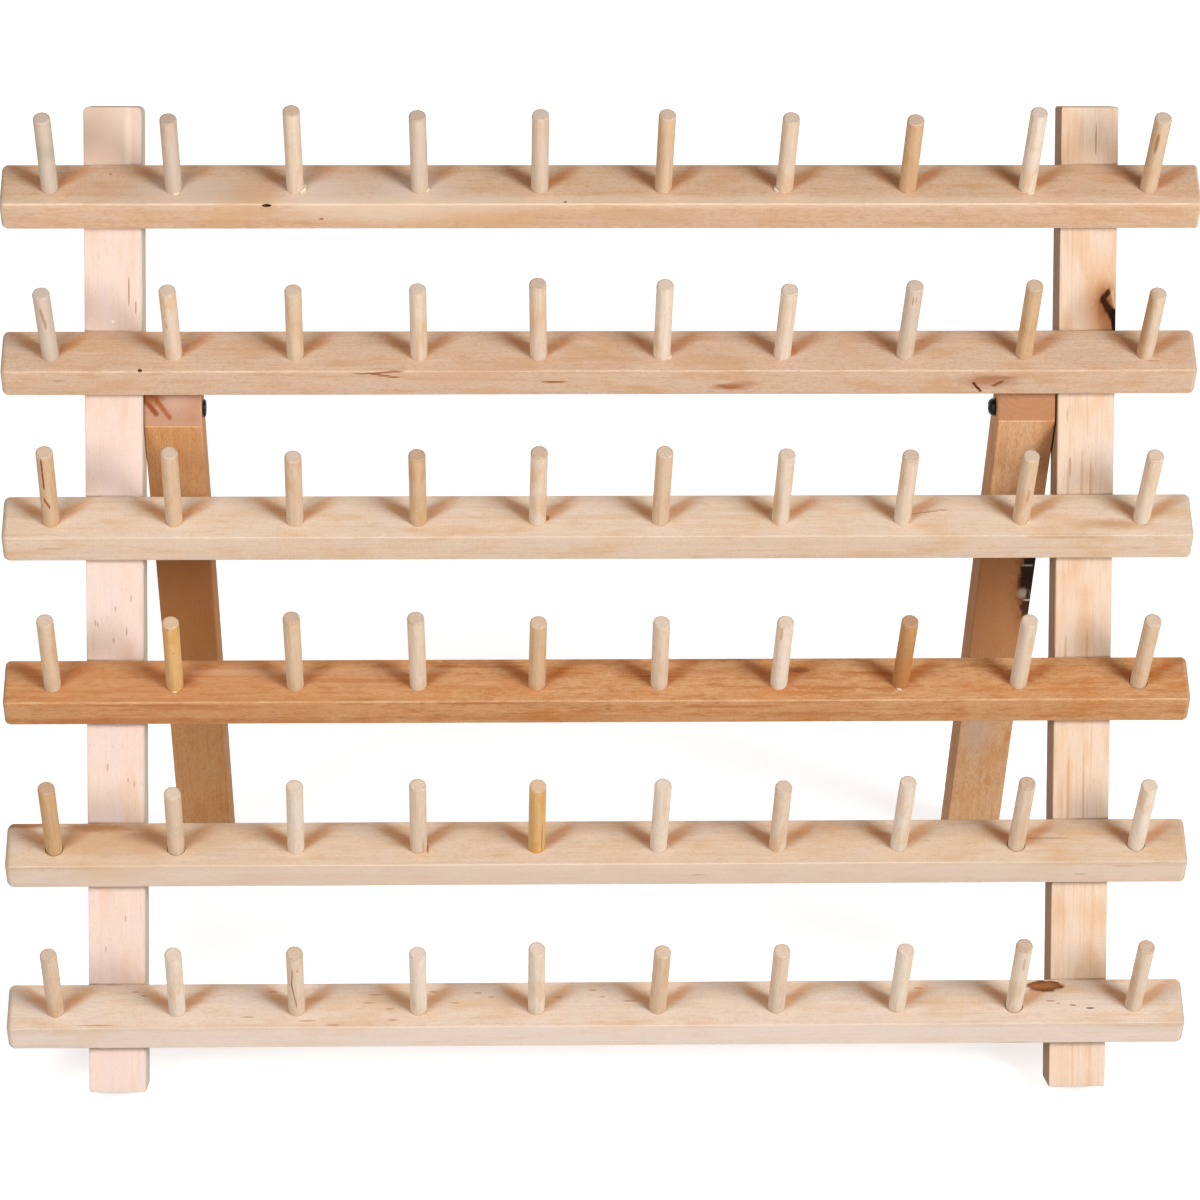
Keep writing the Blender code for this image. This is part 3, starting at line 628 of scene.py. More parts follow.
def post_marks(colors, side):
    """Bark pocket, flecks and dashes of each post, painted shade on each post's inner side and painted shadow
    at the left post's top; a place is up the post, across and back, in mm.
    """
    knot, brown, line = tuple(colors.knot), tuple(colors.grain), (0.52, 0.28, 0.13)
    if side == "left":
        flecks = ((177.8, 5.6, 1.4), (174.0, 0.0, 1.0), (169.0, -7.0, 1.1), (168.5, -6.2, 0.9),
                  (166.0, 4.0, 1.6), (162.8, -0.6, 1.0), (154.5, 7.0, 1.2), (148.0, -6.6, 1.0),
                  (117.5, -3.0, 1.5), (113.0, 4.2, 0.9), (111.5, 6.4, 1.0), (96.0, -5.0, 0.8),
                  (63.0, 3.0, 1.1), (52.0, -4.0, 1.3))
        return [mark((up, across, 0.0), (long, 0.3, 0.7), brown, 0.5) for up, across, long in flecks] + [
            mark((286.3, 5.4, 0.0), (5.0, 0.3, 0.8), brown, 0.75, ragged=0.8),
            mark((280.6, 7.8, 0.0), (2.2, 0.3, 0.8), brown, 0.7),
            mark((275.5, -0.3, 0.0), (0.6, 0.6, 0.8), (0.90, 0.80, 0.70), 0.5),
            # The top darker and browner, mostly painted shadow of the pegs, darkest left of the middle.
            mark((345.0, 0.0, 0.0), (26.0, 16.0, 30.0), (0.62, 0.46, 0.355), 0.85, soft=0.5, ragged=0.3),
            mark((337.0, -4.5, 0.0), (12.0, 4.0, 3.0), (0.60, 0.38, 0.24), 0.3, soft=0.7),
            mark((337.0, 5.5, 0.0), (14.0, 1.2, 3.0), (0.80, 0.64, 0.52), 0.5, soft=0.6),
            # Painted shade: the inner side face darker and greyer.
            mark((175.0, 10.15, 9.0), (260.0, 0.7, 30.0), (0.54, 0.47, 0.39), 0.75, soft=0.3, ragged=0.0),
        ]
    bark = (0.045, 0.013, 0.005)
    growth_lines = (
        (216.0, -1.0, 14.0, 0.5, 0.5), (214.0, 2.0, 12.0, 0.4, 0.6), (212.0, -6.0, 14.0, 0.5, 0.5),
        (148.0, -6.0, 15.0, 0.5, 0.6), (150.0, 1.5, 18.0, 0.5, 0.5), (104.0, -4.5, 16.0, 0.5, 0.6),
        (108.0, 1.0, 16.0, 0.4, 0.6),
    )
    return [
        mark((278.0, 6.6, 0.0), (15.0, 6.5, 5.0), (0.57, 0.28, 0.12), 0.9, soft=0.9),
        mark((281.5, 6.4, 0.0), (6.0, 3.2, 4.0), (0.30, 0.10, 0.035), 0.9, soft=0.7),
        mark((273.0, 7.8, 0.0), (8.0, 2.6, 4.0), (0.40, 0.155, 0.06), 0.8, soft=0.8),
        *trail((285.4, 7.2, 0.0), (282.9, 5.6, 0.0), 4, (1.0, 0.9, 1.5), bark, 0.95, soft=0.5, ragged=0.9),
        *trail((282.7, 5.7, 0.0), (276.8, 9.2, 0.0), 5, (1.7, 1.2, 1.5), bark, 1.0, soft=0.5, ragged=0.9),
        *trail((277.5, 9.4, 0.0), (270.0, 10.4, 0.0), 5, (2.2, 1.2, 4.0), knot, 1.0, soft=0.3, deep=True),
        *trail((285.2, 8.9, 0.0), (281.0, 9.7, 0.0), 4, (1.0, 0.5, 1.5), (0.62, 0.41, 0.26), 0.85, soft=0.6),
        mark((339.0, 2.3, 0.0), (6.0, 0.25, 0.8), brown, 0.8, ragged=0.4),
        mark((337.0, -3.2, 0.0), (9.0, 0.22, 0.8), brown, 0.2, ragged=0.6),
        mark((242.0, -6.5, 0.0), (2.5, 0.4, 0.8), line, 0.5),
        mark((223.5, -5.3, 0.0), (4.0, 0.4, 0.8), brown, 0.55, ragged=0.8),
        *[mark((up, across, 0.0), (long, wide, 0.8), line, strength, ragged=0.8)
          for up, across, long, wide, strength in growth_lines],
        # The inner side face darker and browner: browner wood, and painted shade.
        mark((175.0, -10.15, 9.0), (260.0, 0.5, 30.0), (0.30, 0.175, 0.10), 0.9, soft=0.3, ragged=0.0),
    ]


def leg_marks(colors, side):
    """Stains of the left leg and bark of the right, with painted shade on the legs' middles and the right
    leg's inner side, painted light on the left leg's inner side and a painted shadow of the post on the right
    leg; a place is up the leg from its pivot, across and back.
    """
    knot, bark, red_brown = tuple(colors.knot), (0.05, 0.018, 0.008), (0.24, 0.06, 0.015)
    if side == "left":
        return [
            # Painted shade of the rails in front: the middle of the leg darker and browner.
            mark((-100.0, 0.0, 0.0), (52.0, 40.0, 40.0), (0.35, 0.135, 0.042), 0.85, soft=0.5, ragged=0.2),
            # Painted light: the inner side face lighter than the painted shade beside it.
            mark((-100.0, 10.15, 0.0), (80.0, 0.7, 30.0), (0.50, 0.225, 0.08), 0.6, soft=0.3, ragged=0.0),
            mark((9.0, 1.0, -1.5), (6.0, 5.0, 5.0), (0.56, 0.36, 0.29), 0.45, soft=0.7),
            *trail((7.2, -10.2, -1.85), (3.5, -5.9, -5.55), 7, (0.9, 0.9, 1.2), red_brown, 0.9, soft=0.6,
                   ragged=0.8),
            *trail((6.8, -5.7, -2.25), (2.5, -1.1, -6.55), 7, (0.8, 0.75, 1.2), (0.30, 0.09, 0.025), 0.85,
                   soft=0.7, ragged=0.9),
            mark((7.4, -7.6, -1.65), (2.2, 3.8, 2.2), (0.26, 0.075, 0.02), 0.85, soft=0.8, ragged=1.2),
            mark((2.2, 7.1, -6.85), (1.6, 1.4, 1.6), (0.42, 0.20, 0.12), 0.6, soft=0.7),
        ]
    return [
        # Painted shade of the rails in front: the middle of the leg darker and browner.
        mark((-100.0, 0.0, 0.0), (50.0, 40.0, 40.0), (0.385, 0.158, 0.057), 0.82, soft=0.5, ragged=0.2),
        # Painted shade: the inner side face darker.
        mark((-60.0, -10.15, 0.0), (180.0, 0.7, 30.0), (0.36, 0.125, 0.03), 0.35, soft=0.3, ragged=0.0),
        # Painted shadow of the post on the leg's front, near its top at the right edge.
        mark((-18.0, 10.0, -9.0), (26.0, 4.5, 6.0), (0.40, 0.17, 0.06), 0.6, soft=0.5),
        mark((-90.0, 8.0, -9.0), (26.0, 5.6, 6.0), (0.30, 0.12, 0.045), 0.85, soft=0.55, ragged=0.8),
        mark((-90.0, 9.5, -9.0), (20.0, 4.2, 6.0), (0.10, 0.035, 0.015), 0.9, soft=0.4, ragged=0.9),
        *trail((-68.0, 8.2, -9.0), (-89.0, 8.6, -9.0), 4, (5.5, 3.6, 5.0), knot, 0.95, soft=0.35, ragged=1.0,
               deep=True),
        mark((-103.0, 9.0, -9.0), (5.5, 2.2, 5.0), bark, 0.95, soft=0.3, ragged=1.0, deep=True),
        mark((-95.5, 7.0, -9.0), (2.6, 1.8, 2.0), (0.44, 0.34, 0.28), 0.7, soft=0.6, ragged=1.0),
        mark((-96.0, 8.8, -9.0), (2.4, 0.5, 2.0), knot, 0.9, soft=0.3),
        mark((-99.5, 8.8, -9.0), (0.5, 1.3, 1.5), (0.62, 0.54, 0.47), 0.7, soft=0.4, ragged=0.8),
        mark((-79.0, 7.2, -9.0), (0.6, 2.0, 1.5), (0.50, 0.40, 0.32), 0.6, soft=0.4, ragged=0.8),
        mark((-73.0, 8.6, -9.0), (1.2, 0.5, 1.5), (0.42, 0.33, 0.25), 0.5, soft=0.4, ragged=0.8),
        mark((-213.0, 3.5, -9.0), (3.0, 1.6, 3.0), (0.55, 0.22, 0.07), 0.6, soft=0.5),
        mark((-184.0, 8.6, -9.0), (4.0, 1.2, 3.0), (0.55, 0.22, 0.07), 0.6, soft=0.5),
        mark((-178.0, -3.0, -9.0), (16.0, 5.0, 4.0), (0.55, 0.42, 0.35), 0.5, soft=0.7),
    ]


def peg_flaws(colors):
    """Marks of single pegs; a place is up the peg, across and back, in mm."""
    brown, red, tan = tuple(colors.grain), (0.26, 0.08, 0.02), (0.52, 0.33, 0.17)

    def greyed(strength):
        """All of a peg, turned greyer and darker."""
        return mark((18.0, 0.0, 0.0), (60.0, 9.0, 9.0), (0.50, 0.41, 0.34), strength)

    return {
        (1, 1): [greyed(0.6), mark((20.5, 0.0, -2.9), (3.5, 4.0, 4.0), (0.42, 0.35, 0.27), 0.6, soft=0.8)],
        (1, 2): [greyed(0.55)],
        (1, 4): [greyed(0.35)],
        (1, 5): [greyed(0.3)],
        (1, 6): [mark((16.0, -2.0, -1.8), (18.0, 1.3, 1.6), (0.48, 0.29, 0.15), 0.6, soft=0.8)],
        (1, 10): [mark((25.0, -1.1, -2.8), (5.0, 0.6, 1.2), (0.30, 0.13, 0.05), 0.9, soft=0.3),
                  mark((15.0, -1.8, -2.0), (16.0, 1.2, 1.6), (0.50, 0.31, 0.17), 0.5, soft=0.8)],
        (2, 1): [greyed(0.6), *trail((25.5, -0.5, -2.9), (19.3, 0.4, -2.9), 3, (2.4, 0.45, 0.9),
                                     (0.41, 0.21, 0.09), 0.8, soft=0.4)],
        (2, 2): [mark((18.0, -1.2, -2.5), (1.6, 0.4, 0.8), brown, 0.5)],
        (2, 8): [greyed(0.35), mark((31.0, -0.5, -2.9), (2.2, 0.25, 0.8), brown, 0.6),
                 mark((31.5, 0.6, -2.9), (1.8, 0.25, 0.8), brown, 0.5)],
        (2, 10): [mark((17.0, -2.6, -1.0), (24.0, 2.2, 3.0), (0.44, 0.24, 0.11), 0.8, soft=0.6)],
        (3, 1): [*trail((34.5, -1.05, -2.7), (22.6, -0.95, -2.8), 5, (2.2, 0.34, 1.2), red, 0.95, soft=0.3),
                 *trail((15.0, -1.2, -2.7), (11.5, 0.2, -2.9), 4, (1.2, 0.34, 1.2), red, 0.9, soft=0.4)],
        (3, 7): [mark((9.0, -1.9, -2.0), (11.0, 1.3, 1.6), tan, 0.6, soft=0.8)],
        (3, 9): [mark((16.0, 0.8, -2.8), (3.0, 0.5, 0.9), brown, 0.4, ragged=1.2)],
        (4, 2): [mark((35.0, -0.8, -2.8), (0.4, 0.4, 0.8), brown, 0.8),
                 mark((22.0, 0.6, -2.9), (0.5, 0.3, 0.8), brown, 0.7),
                 mark((16.0, -1.9, -2.0), (16.0, 0.8, 1.6), tan, 0.5, soft=0.7)],
        (4, 4): [mark((37.0, -0.6, -1.9), (0.7, 0.5, 0.8), (0.10, 0.06, 0.04), 0.8)],
        (4, 7): [mark((31.5, -1.3, -2.5), (3.6, 0.55, 1.0), (0.55, 0.33, 0.15), 0.7)],
        (4, 8): [mark((8.0, 0.0, 0.0), (26.0, 4.0, 4.0), (0.40, 0.155, 0.05), 0.9, soft=0.7)],
        (5, 4): [mark((4.0, 1.7, -2.4), (4.5, 0.25, 0.8), brown, 0.4)],
        (5, 5): [mark((8.0, 1.8, -2.3), (9.0, 0.25, 0.8), brown, 0.6),
                 mark((18.0, -2.0, -1.9), (16.0, 0.8, 1.6), tan, 0.5, soft=0.7)],
        (6, 3): [*trail((27.5, -0.9, -2.8), (20.0, -1.25, -2.6), 4, (1.7, 0.22, 1.2), (0.34, 0.13, 0.05),
                        0.75, soft=0.5),
                 *trail((19.2, -1.25, -2.6), (7.5, 0.1, -2.9), 6, (1.8, 0.24, 1.2), (0.32, 0.12, 0.045), 0.75,
                        soft=0.5),
                 mark((28.5, 0.9, -2.7), (0.9, 0.3, 0.8), brown, 0.6)],
        (6, 9): [mark((30.0, 0.4, -2.9), (4.0, 0.4, 0.9), brown, 0.4, ragged=1.2)],
        (6, 10): [mark((14.0, -1.9, -1.9), (16.0, 1.2, 1.6), (0.50, 0.31, 0.17), 0.6, soft=0.8)],
    }


def make_steel(name, color):
    recipe = material_recipe(name)
    grime = recipe.cloud(900.0, 3.0)
    tint = recipe.mix(recipe.ramp(grime, 0.45, 0.75), color, scaled_color(color, 2.6))
    bump = recipe.node("Bump", {}, {"Height": grime, "Strength": 0.25, "Distance": 0.0001})
    roughness = 0.34 + grime * 0.2
    return recipe.shade({"Base Color": tint, "Roughness": roughness, "Metallic": 0.85, "Normal": bump})


def make_glue(name, color):
    recipe = material_recipe(name)
    cloud = recipe.cloud(1400.0, 2.0)
    tint = recipe.mix(cloud, color, scaled_color(color, 0.8))
    bump = recipe.node("Bump", {}, {"Height": cloud, "Strength": 0.4, "Distance": 0.0001})
    return recipe.shade({"Base Color": tint, "Roughness": 0.3 + cloud * 0.2, "Normal": bump})


# Modelling by operators

def select_only(*objects):
    bpy.ops.object.select_all(action="DESELECT")
    for obj in objects:
        obj.select_set(True)
    bpy.context.view_layer.objects.active = objects[-1]


def named(name):
    obj = bpy.context.object
    obj.name = name
    obj.data.name = name
    bpy.ops.object.transform_apply(location=True, rotation=True, scale=True)
    return obj


def add_box(name, low, high):
    """A box between two corners."""
    low, high = Vector(low), Vector(high)
    bpy.ops.object.select_all(action="DESELECT")
    bpy.ops.mesh.primitive_cube_add(size=1, location=(low + high) / 2, scale=high - low)
    return named(name)


def add_rod(name, radius, bottom, top, sides, turn=(0, 0, 0)):
    """A cylinder whose axis is Z before it is turned."""
    bpy.ops.object.select_all(action="DESELECT")
    centre = Euler(turn).to_matrix() @ Vector((0, 0, (bottom + top) / 2))
    bpy.ops.mesh.primitive_cylinder_add(vertices=sides, radius=radius, depth=top - bottom, location=centre,
                                        rotation=turn)
    return named(name)


def choose(obj, mode, wanted):
    """Enters edit mode with only the wanted edges or faces selected."""
    select_only(obj)
    bpy.ops.object.mode_set(mode="EDIT")
    bpy.ops.mesh.select_mode(type=mode)
    bpy.ops.mesh.select_all(action="DESELECT")
    shape = bmesh.from_edit_mesh(obj.data)
    for item in shape.edges if mode == "EDGE" else shape.faces:
        if wanted(item):
            item.select_set(True)
    shape.select_flush_mode()
    bmesh.update_edit_mesh(obj.data)


def leave():
    bpy.ops.object.mode_set(mode="OBJECT")


def is_at(edge, axis, height):
    return all(abs(vert.co[axis] - height) < 1e-6 for vert in edge.verts)


def runs_along(edge, axis):
    line = edge.verts[0].co - edge.verts[1].co
    return abs(line[axis]) > 0.99 * line.length


def ease(obj, width, segments, wanted=lambda edge: True):
    choose(obj, "EDGE", wanted)
    bpy.ops.mesh.bevel(offset=width, offset_type="OFFSET", segments=segments, affect="EDGES")
    leave()


def slice_off(obj, point, outward):
    """Cuts away what lies beyond a plane and closes the cut."""
    choose(obj, "FACE", lambda face: True)
    bpy.ops.mesh.bisect(plane_co=point, plane_no=outward, use_fill=True, clear_outer=True)
    leave()


def joined(name, objects):
    select_only(*objects)
    bpy.ops.object.join()
    bpy.context.object.name = name
    return bpy.context.object


def cut(obj, cutter):
    select_only(obj)
    modifier = obj.modifiers.new("cut", "BOOLEAN")
    modifier.operation = "DIFFERENCE"
    modifier.solver = "EXACT"
    modifier.use_self = True
    modifier.object = cutter
    bpy.ops.object.modifier_apply(modifier=modifier.name)
    bpy.data.objects.remove(cutter, do_unlink=True)


def face_values(mesh, name, values):
    mesh.attributes.new(name, "FLOAT", "FACE").data.foreach_set("value", values)


def is_eased(face, mesh, along, is_round):
    """Whether a face is a slant between two others: a narrow one on a board, the tip's rim on a dowel."""
    narrow = 0.001
    if is_round:
        return 0.1 < abs(face.normal[along]) < 0.97
    corners = [mesh.vertices[index].co for index in face.vertices]
    rim = sum((corner - corners[step - 1]).length for step, corner in enumerate(corners))
    return max(map(abs, face.normal)) < 0.97 and 2 * face.area < narrow * rim


def note_grain(obj, grain_axis, tone=0.0, shift=(0, 0, 0), is_round=False):
    """Stores the board's own coordinates, its cut ends and its eased edges for the wood to read."""
    order = {"X": (0, 1, 2), "Z": (2, 0, 1)}[grain_axis]
    mesh = obj.data
    places = [coordinate for vert in mesh.vertices
              for coordinate in (vert.co[axis] * PER_MM + shift[step] for step, axis in enumerate(order))]
    mesh.attributes.new("board_mm", "FLOAT_VECTOR", "POINT").data.foreach_set("vector", places)
    note_number(obj, "tone", tone)
    along = order[0]
    face_values(mesh, "cut_end", [float(abs(face.normal[along]) > 0.6) for face in mesh.polygons])
    face_values(mesh, "worn_edge", [float(is_eased(face, mesh, along, is_round)) for face in mesh.polygons])


def note_number(obj, name, number):
    """Stores one number on the whole of a piece."""
    mesh = obj.data
    mesh.attributes.new(name, "FLOAT", "POINT").data.foreach_set("value", [number] * len(mesh.vertices))


def set_in_place(obj, place, material, body, nodes, smooth_degrees=50):
    """Moves a finished board from its own coordinates to the rack, and hands it to the frame."""
    obj.data.transform(place)
    obj.data.materials.clear()
    obj.data.materials.append(material)
    select_only(obj)
    bpy.ops.object.shade_smooth_by_angle(angle=math.radians(smooth_degrees))
    weighted = obj.modifiers.new("weighted", "WEIGHTED_NORMAL")
    weighted.keep_sharp = True
    bpy.ops.object.modifier_apply(modifier=weighted.name)
    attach(obj, body)
    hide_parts(*nodes)


def copied(obj, name):
    copy = obj.copy()
    copy.data = obj.data.copy()
    copy.name = name
    copy.data.name = name
    bpy.context.scene.collection.objects.link(copy)
    return copy


def rail_place(row):
    """From a rail's own coordinates, whose origin is its back top edge, to the rack."""
    sizes = bpy.context.scene.rack_sizes
    to_middle = RAIL_TURN @ Vector((0, -sizes.rail_width / 2, -sizes.rail_thickness / 2))
    origin = middle("rail_1") - to_middle - (row - 1) * RAIL_PITCH * UP
    origin.x += RAIL_SLIDES[row] / PER_MM
    return Matrix.Translation(origin) @ RAIL_TURN


def peg_stance(row, number):
    """From a peg's own coordinates, whose origin is where it leaves the wood, to its rail's."""
    sizes = bpy.context.scene.rack_sizes
    x = PEG_PLACES[number - 1] + BORE_STRAYS[number - 1] / 10 / PER_MM
    lean = Matrix.Rotation(math.radians(PEG_LEANS[row][number - 1] / 10), 4, "Y")
    return Matrix.Translation((x, -sizes.peg_setback, 0)) @ lean


def post_place(side):
    sizes = bpy.context.scene.rack_sizes
    foot = rail_place(1).translation - (sizes.post_length - sizes.top_rail_drop) * UP
    at_foot, at_top = (stray / PER_MM for stray in POST_STRAYS[side])
    foot.x = middle(f"post_{side}").x + at_foot
    lean = Matrix.Rotation(math.atan2(at_top - at_foot, sizes.post_length), 4, "Y")
    return Matrix.Translation(foot) @ RACK_TURN @ lean


def leg_place(side):
    pivot = PIVOTS[f"{side}_leg"].copy()
    pivot.x = middle(f"leg_{side}").x + LEG_STRAYS[side] / PER_MM
    return Matrix.Translation(pivot) @ RAIL_TURN


class RACK_OT_add_rails(bpy.types.Operator):
    """Adds the six bored rails"""

    bl_idname = "rack.add_rails"
    bl_label = "Add Rails"

    def execute(self, context):
        sizes, colors = context.scene.rack_sizes, context.scene.rack_colors
        marks = rail_marks(colors)
        for row in range(1, RAIL_ROWS + 1):
            rail = self.rail(row, sizes)
            note_grain(rail, "X")
            tint = getattr(colors, f"rail_{row}")
            wood = make_wood(f"rail_wood_{row}", tint, RAIL_LOOKS[row], marks[row], seed=row)
            set_in_place(rail, rail_place(row), wood, "frame", [f"rail_{row}"])
        return {"FINISHED"}

    def rail(self, row, sizes):
        """A bar with sanded ends and a bore in line with each of its pegs."""
        half = RAIL_LENGTH / 2
        rail = add_box(f"peg_rail_{row}", (-half, -sizes.rail_width, -sizes.rail_thickness), (half, 0, 0))
        for sign, rounding in zip((-1, 1), RAIL_END_ROUNDS[row]):
            ease(rail, rounding / PER_MM, 5, lambda edge: is_at(edge, 0, sign * half))
        ease(rail, sizes.arris, 2, lambda edge: edge.calc_face_angle() > math.radians(60))
        middle_z = (sizes.seat_gap + sizes.peg_seat) / -2
        bores = []
        for number in range(1, PEGS_PER_RAIL + 1):
            gap = sizes.wide_bore_gap if (row, number) in WIDE_BORES else sizes.bore_gap
            bore = add_rod(f"bore_{number}", sizes.peg_radius + gap, middle_z * 2, sizes.peg_seat, 32)
            bore.data.transform(peg_stance(row, number))
            bores.append(bore)
        cut(rail, joined("bores", bores))
        return rail


class RACK_OT_add_pegs(bpy.types.Operator):
    """Adds the turned dowel pegs, each with its own lean, tone and grain"""

    bl_idname = "rack.add_pegs"
    bl_label = "Add Pegs"

    def execute(self, context):
        sizes, colors = context.scene.rack_sizes, context.scene.rack_colors
        tones, gold = (tuple(colors.peg_pale), tuple(colors.peg_dark)), tuple(colors.peg_gold)
        wood = make_wood("peg_wood", tones, PEG_LOOK)
        glue = make_glue("dried_glue", tuple(colors.glue))
        dowel = add_rod("dowel", sizes.peg_radius, -sizes.peg_seat, sizes.peg_exposed, 32)
        ease(dowel, sizes.peg_chamfer, 3, lambda edge: is_at(edge, 2, sizes.peg_exposed))
        flaws = peg_flaws(colors)
        draw = random.Random(11)
        for row in range(1, RAIL_ROWS + 1):
            for number in range(1, PEGS_PER_RAIL + 1):
                peg = copied(dowel, f"dowel_peg_{row}_{number:02d}")
                self.lengthen(peg, PEG_EXTRAS[row][number - 1] / 10 / PER_MM)
                tone = self.tone(row, number) + draw.uniform(-TONE_SPREAD, TONE_SPREAD)
                shift = Vector((draw.uniform(-400, 400), draw.uniform(-14, 14), draw.uniform(-14, 14)))
                roll = draw.uniform(0, 2 * math.pi)
                if (row, number) in flaws:
                    woods = (gold, gold) if (row, number) in GOLDEN_PEGS else tones
                    marks = flaws[row, number]
                    own = make_wood(f"peg_wood_{row}_{number:02d}", woods, PEG_LOOK, marks, seed=number)
                    note_grain(peg, "Z", tone, is_round=True)
                    roll = 0.0
                else:
                    own = wood
                    note_grain(peg, "Z", tone, shift, is_round=True)
                note_number(peg, "tip_stain", STAINED_TIPS.get((row, number), 0.0))
                place = rail_place(row) @ peg_stance(row, number) @ Matrix.Rotation(roll, 4, "Z")
                node = f"peg_{row}_{number:02d}" if row <= LOOSE_PEG_ROWS else f"rail_{row}"
                set_in_place(peg, place, own, "frame", [node])
        for row, number, bearing, size in GLUE_BEADS:
            self.add_bead(row, number, math.radians(bearing), size, glue)
        bpy.data.objects.remove(dowel, do_unlink=True)
        return {"FINISHED"}

    def tone(self, row, number):
        """0 for the palest dowels, 1 for the darkest."""
        place = (row, number)
        if place in BROWN_PEGS:
            return BROWN_PEGS[place]
        tone = TAN_TONE if place in TAN_PEGS else WHITE_TONE if place in WHITE_PEGS else CREAM_TONE
        # Painted shade darkens the dowels of the two upper rails.
        return tone + UPPER_PEG_PAINTED_SHADE.get(row, 0.0)

    def lengthen(self, peg, extra):
        for vert in peg.data.vertices:
            if vert.co.z > 0:
                vert.co.z += extra

    def add_bead(self, row, number, bearing, size, glue):
        """A squeezed-out bead that lies in the corner between a peg and its rail."""
        sizes = bpy.context.scene.rack_sizes
        bpy.ops.object.select_all(action="DESELECT")
        bpy.ops.mesh.primitive_ico_sphere_add(subdivisions=3, radius=size, scale=(0.6, 1.5, 0.6))
        bead = named(f"glue_bead_{row}_{number:02d}")
        draw = random.Random(row * 31 + number)
        for vert in bead.data.vertices:
            vert.co *= 1 + 0.25 * math.sin(vert.co.x * 2600 + draw.random()) * math.cos(vert.co.y * 2100)
        beside = Matrix.Translation((sizes.peg_radius + size * 0.1, 0, size * 0.1))
        place = rail_place(row) @ peg_stance(row, number) @ Matrix.Rotation(bearing, 4, "Z") @ beside
        set_in_place(bead, place, glue, "frame", [f"peg_{row}_{number:02d}"], 180)


class RACK_OT_add_posts(bpy.types.Operator):
    """Adds the two notched posts"""

    bl_idname = "rack.add_posts"
    bl_label = "Add Posts"

    def execute(self, context):
        sizes, colors = context.scene.rack_sizes, context.scene.rack_colors
        half, top = sizes.stock_width / 2, sizes.post_length
        for side, sign in SIDES.items():
            post = add_box(f"notched_post_{side}", (-half, 0, 0), (half, sizes.stock_depth, top))
            rounding = POST_ROUNDS[side] / PER_MM
            ease(post, rounding, 4, lambda edge: runs_along(edge, 1) and edge.verts[0].co.z > top / 2)
            ease(post, sizes.arris, 2, lambda edge: edge.calc_face_angle() > math.radians(60))
            cut(post, self.notch_cutter(side))
            note_grain(post, "Z")
            tint, marks = getattr(colors, f"{side}_post"), post_marks(colors, side)
            wood = make_wood(f"post_wood_{side}", tint, POST_LOOKS[side], marks, seed=20 + sign)
            set_in_place(post, post_place(side), wood, "frame", [f"post_{side}"])
        return {"FINISHED"}

    def notch_cutter(self, side):
        """The six rails grown by their seat gap, in the post's coordinates."""
        sizes = bpy.context.scene.rack_sizes
        gap, wide, beyond = sizes.seat_gap, sizes.stock_width, sizes.rail_width
        low = (-wide, -sizes.rail_width - beyond, -sizes.rail_thickness - gap)
        to_post = post_place(side).inverted()
        blocks = []
        for row in range(1, RAIL_ROWS + 1):
            block = add_box(f"notch_{row}", low, (wide, gap, beyond))
            place = to_post @ rail_place(row)
            place.translation -= place.translation.project(place.to_3x3() @ Vector((1, 0, 0)))
            block.data.transform(place)
            blocks.append(block)
        return joined("notches", blocks)


class RACK_OT_add_legs(bpy.types.Operator):
    """Adds the two folding legs with their bored, bevelled tops and flat feet"""

    bl_idname = "rack.add_legs"
    bl_label = "Add Legs"

    def execute(self, context):
        sizes, colors = context.scene.rack_sizes, context.scene.rack_colors
        across, deep, blank = sizes.stock_width / 2, sizes.stock_depth / 2, sizes.post_length
        slant = Vector((0, -math.cos(RAIL_TILT), math.sin(RAIL_TILT)))
        for side, sign in SIDES.items():
            place = leg_place(side)
            to_leg = place.inverted()
            low, high = (-across, -deep, -blank), (across, deep, sizes.leg_top_reach)
            leg = add_box(f"folding_leg_{side}", low, high)
            slice_off(leg, to_leg @ Vector((place.translation.x, 0, 0)), to_leg.to_3x3() @ Vector((0, 0, -1)))
            bevel_depth = deep - sizes.leg_bevel_setback - (sizes.deeper_left_bevel if side == "left" else 0)
            edge_height = (bevel_depth - deep * math.cos(RAIL_TILT)) / math.sin(RAIL_TILT)
            slice_off(leg, (0, -deep, edge_height), slant)
            ease(leg, sizes.arris * 0.8, 2, lambda edge: edge.calc_face_angle() > math.radians(30))
            bore_radius, reach = sizes.screw_radius + PIVOT_GAP, 0.03
            cut(leg, add_rod("pivot_bore", bore_radius, -reach, reach, 24, turn=(0, math.pi / 2, 0)))
            note_grain(leg, "Z")
            tint, marks = getattr(colors, f"{side}_leg"), leg_marks(colors, side)
            wood = make_wood(f"leg_wood_{side}", tint, LEG_LOOKS[side], marks, seed=30 + sign)
            set_in_place(leg, place, wood, f"{side}_leg", [f"leg_{side}"])
        return {"FINISHED"}


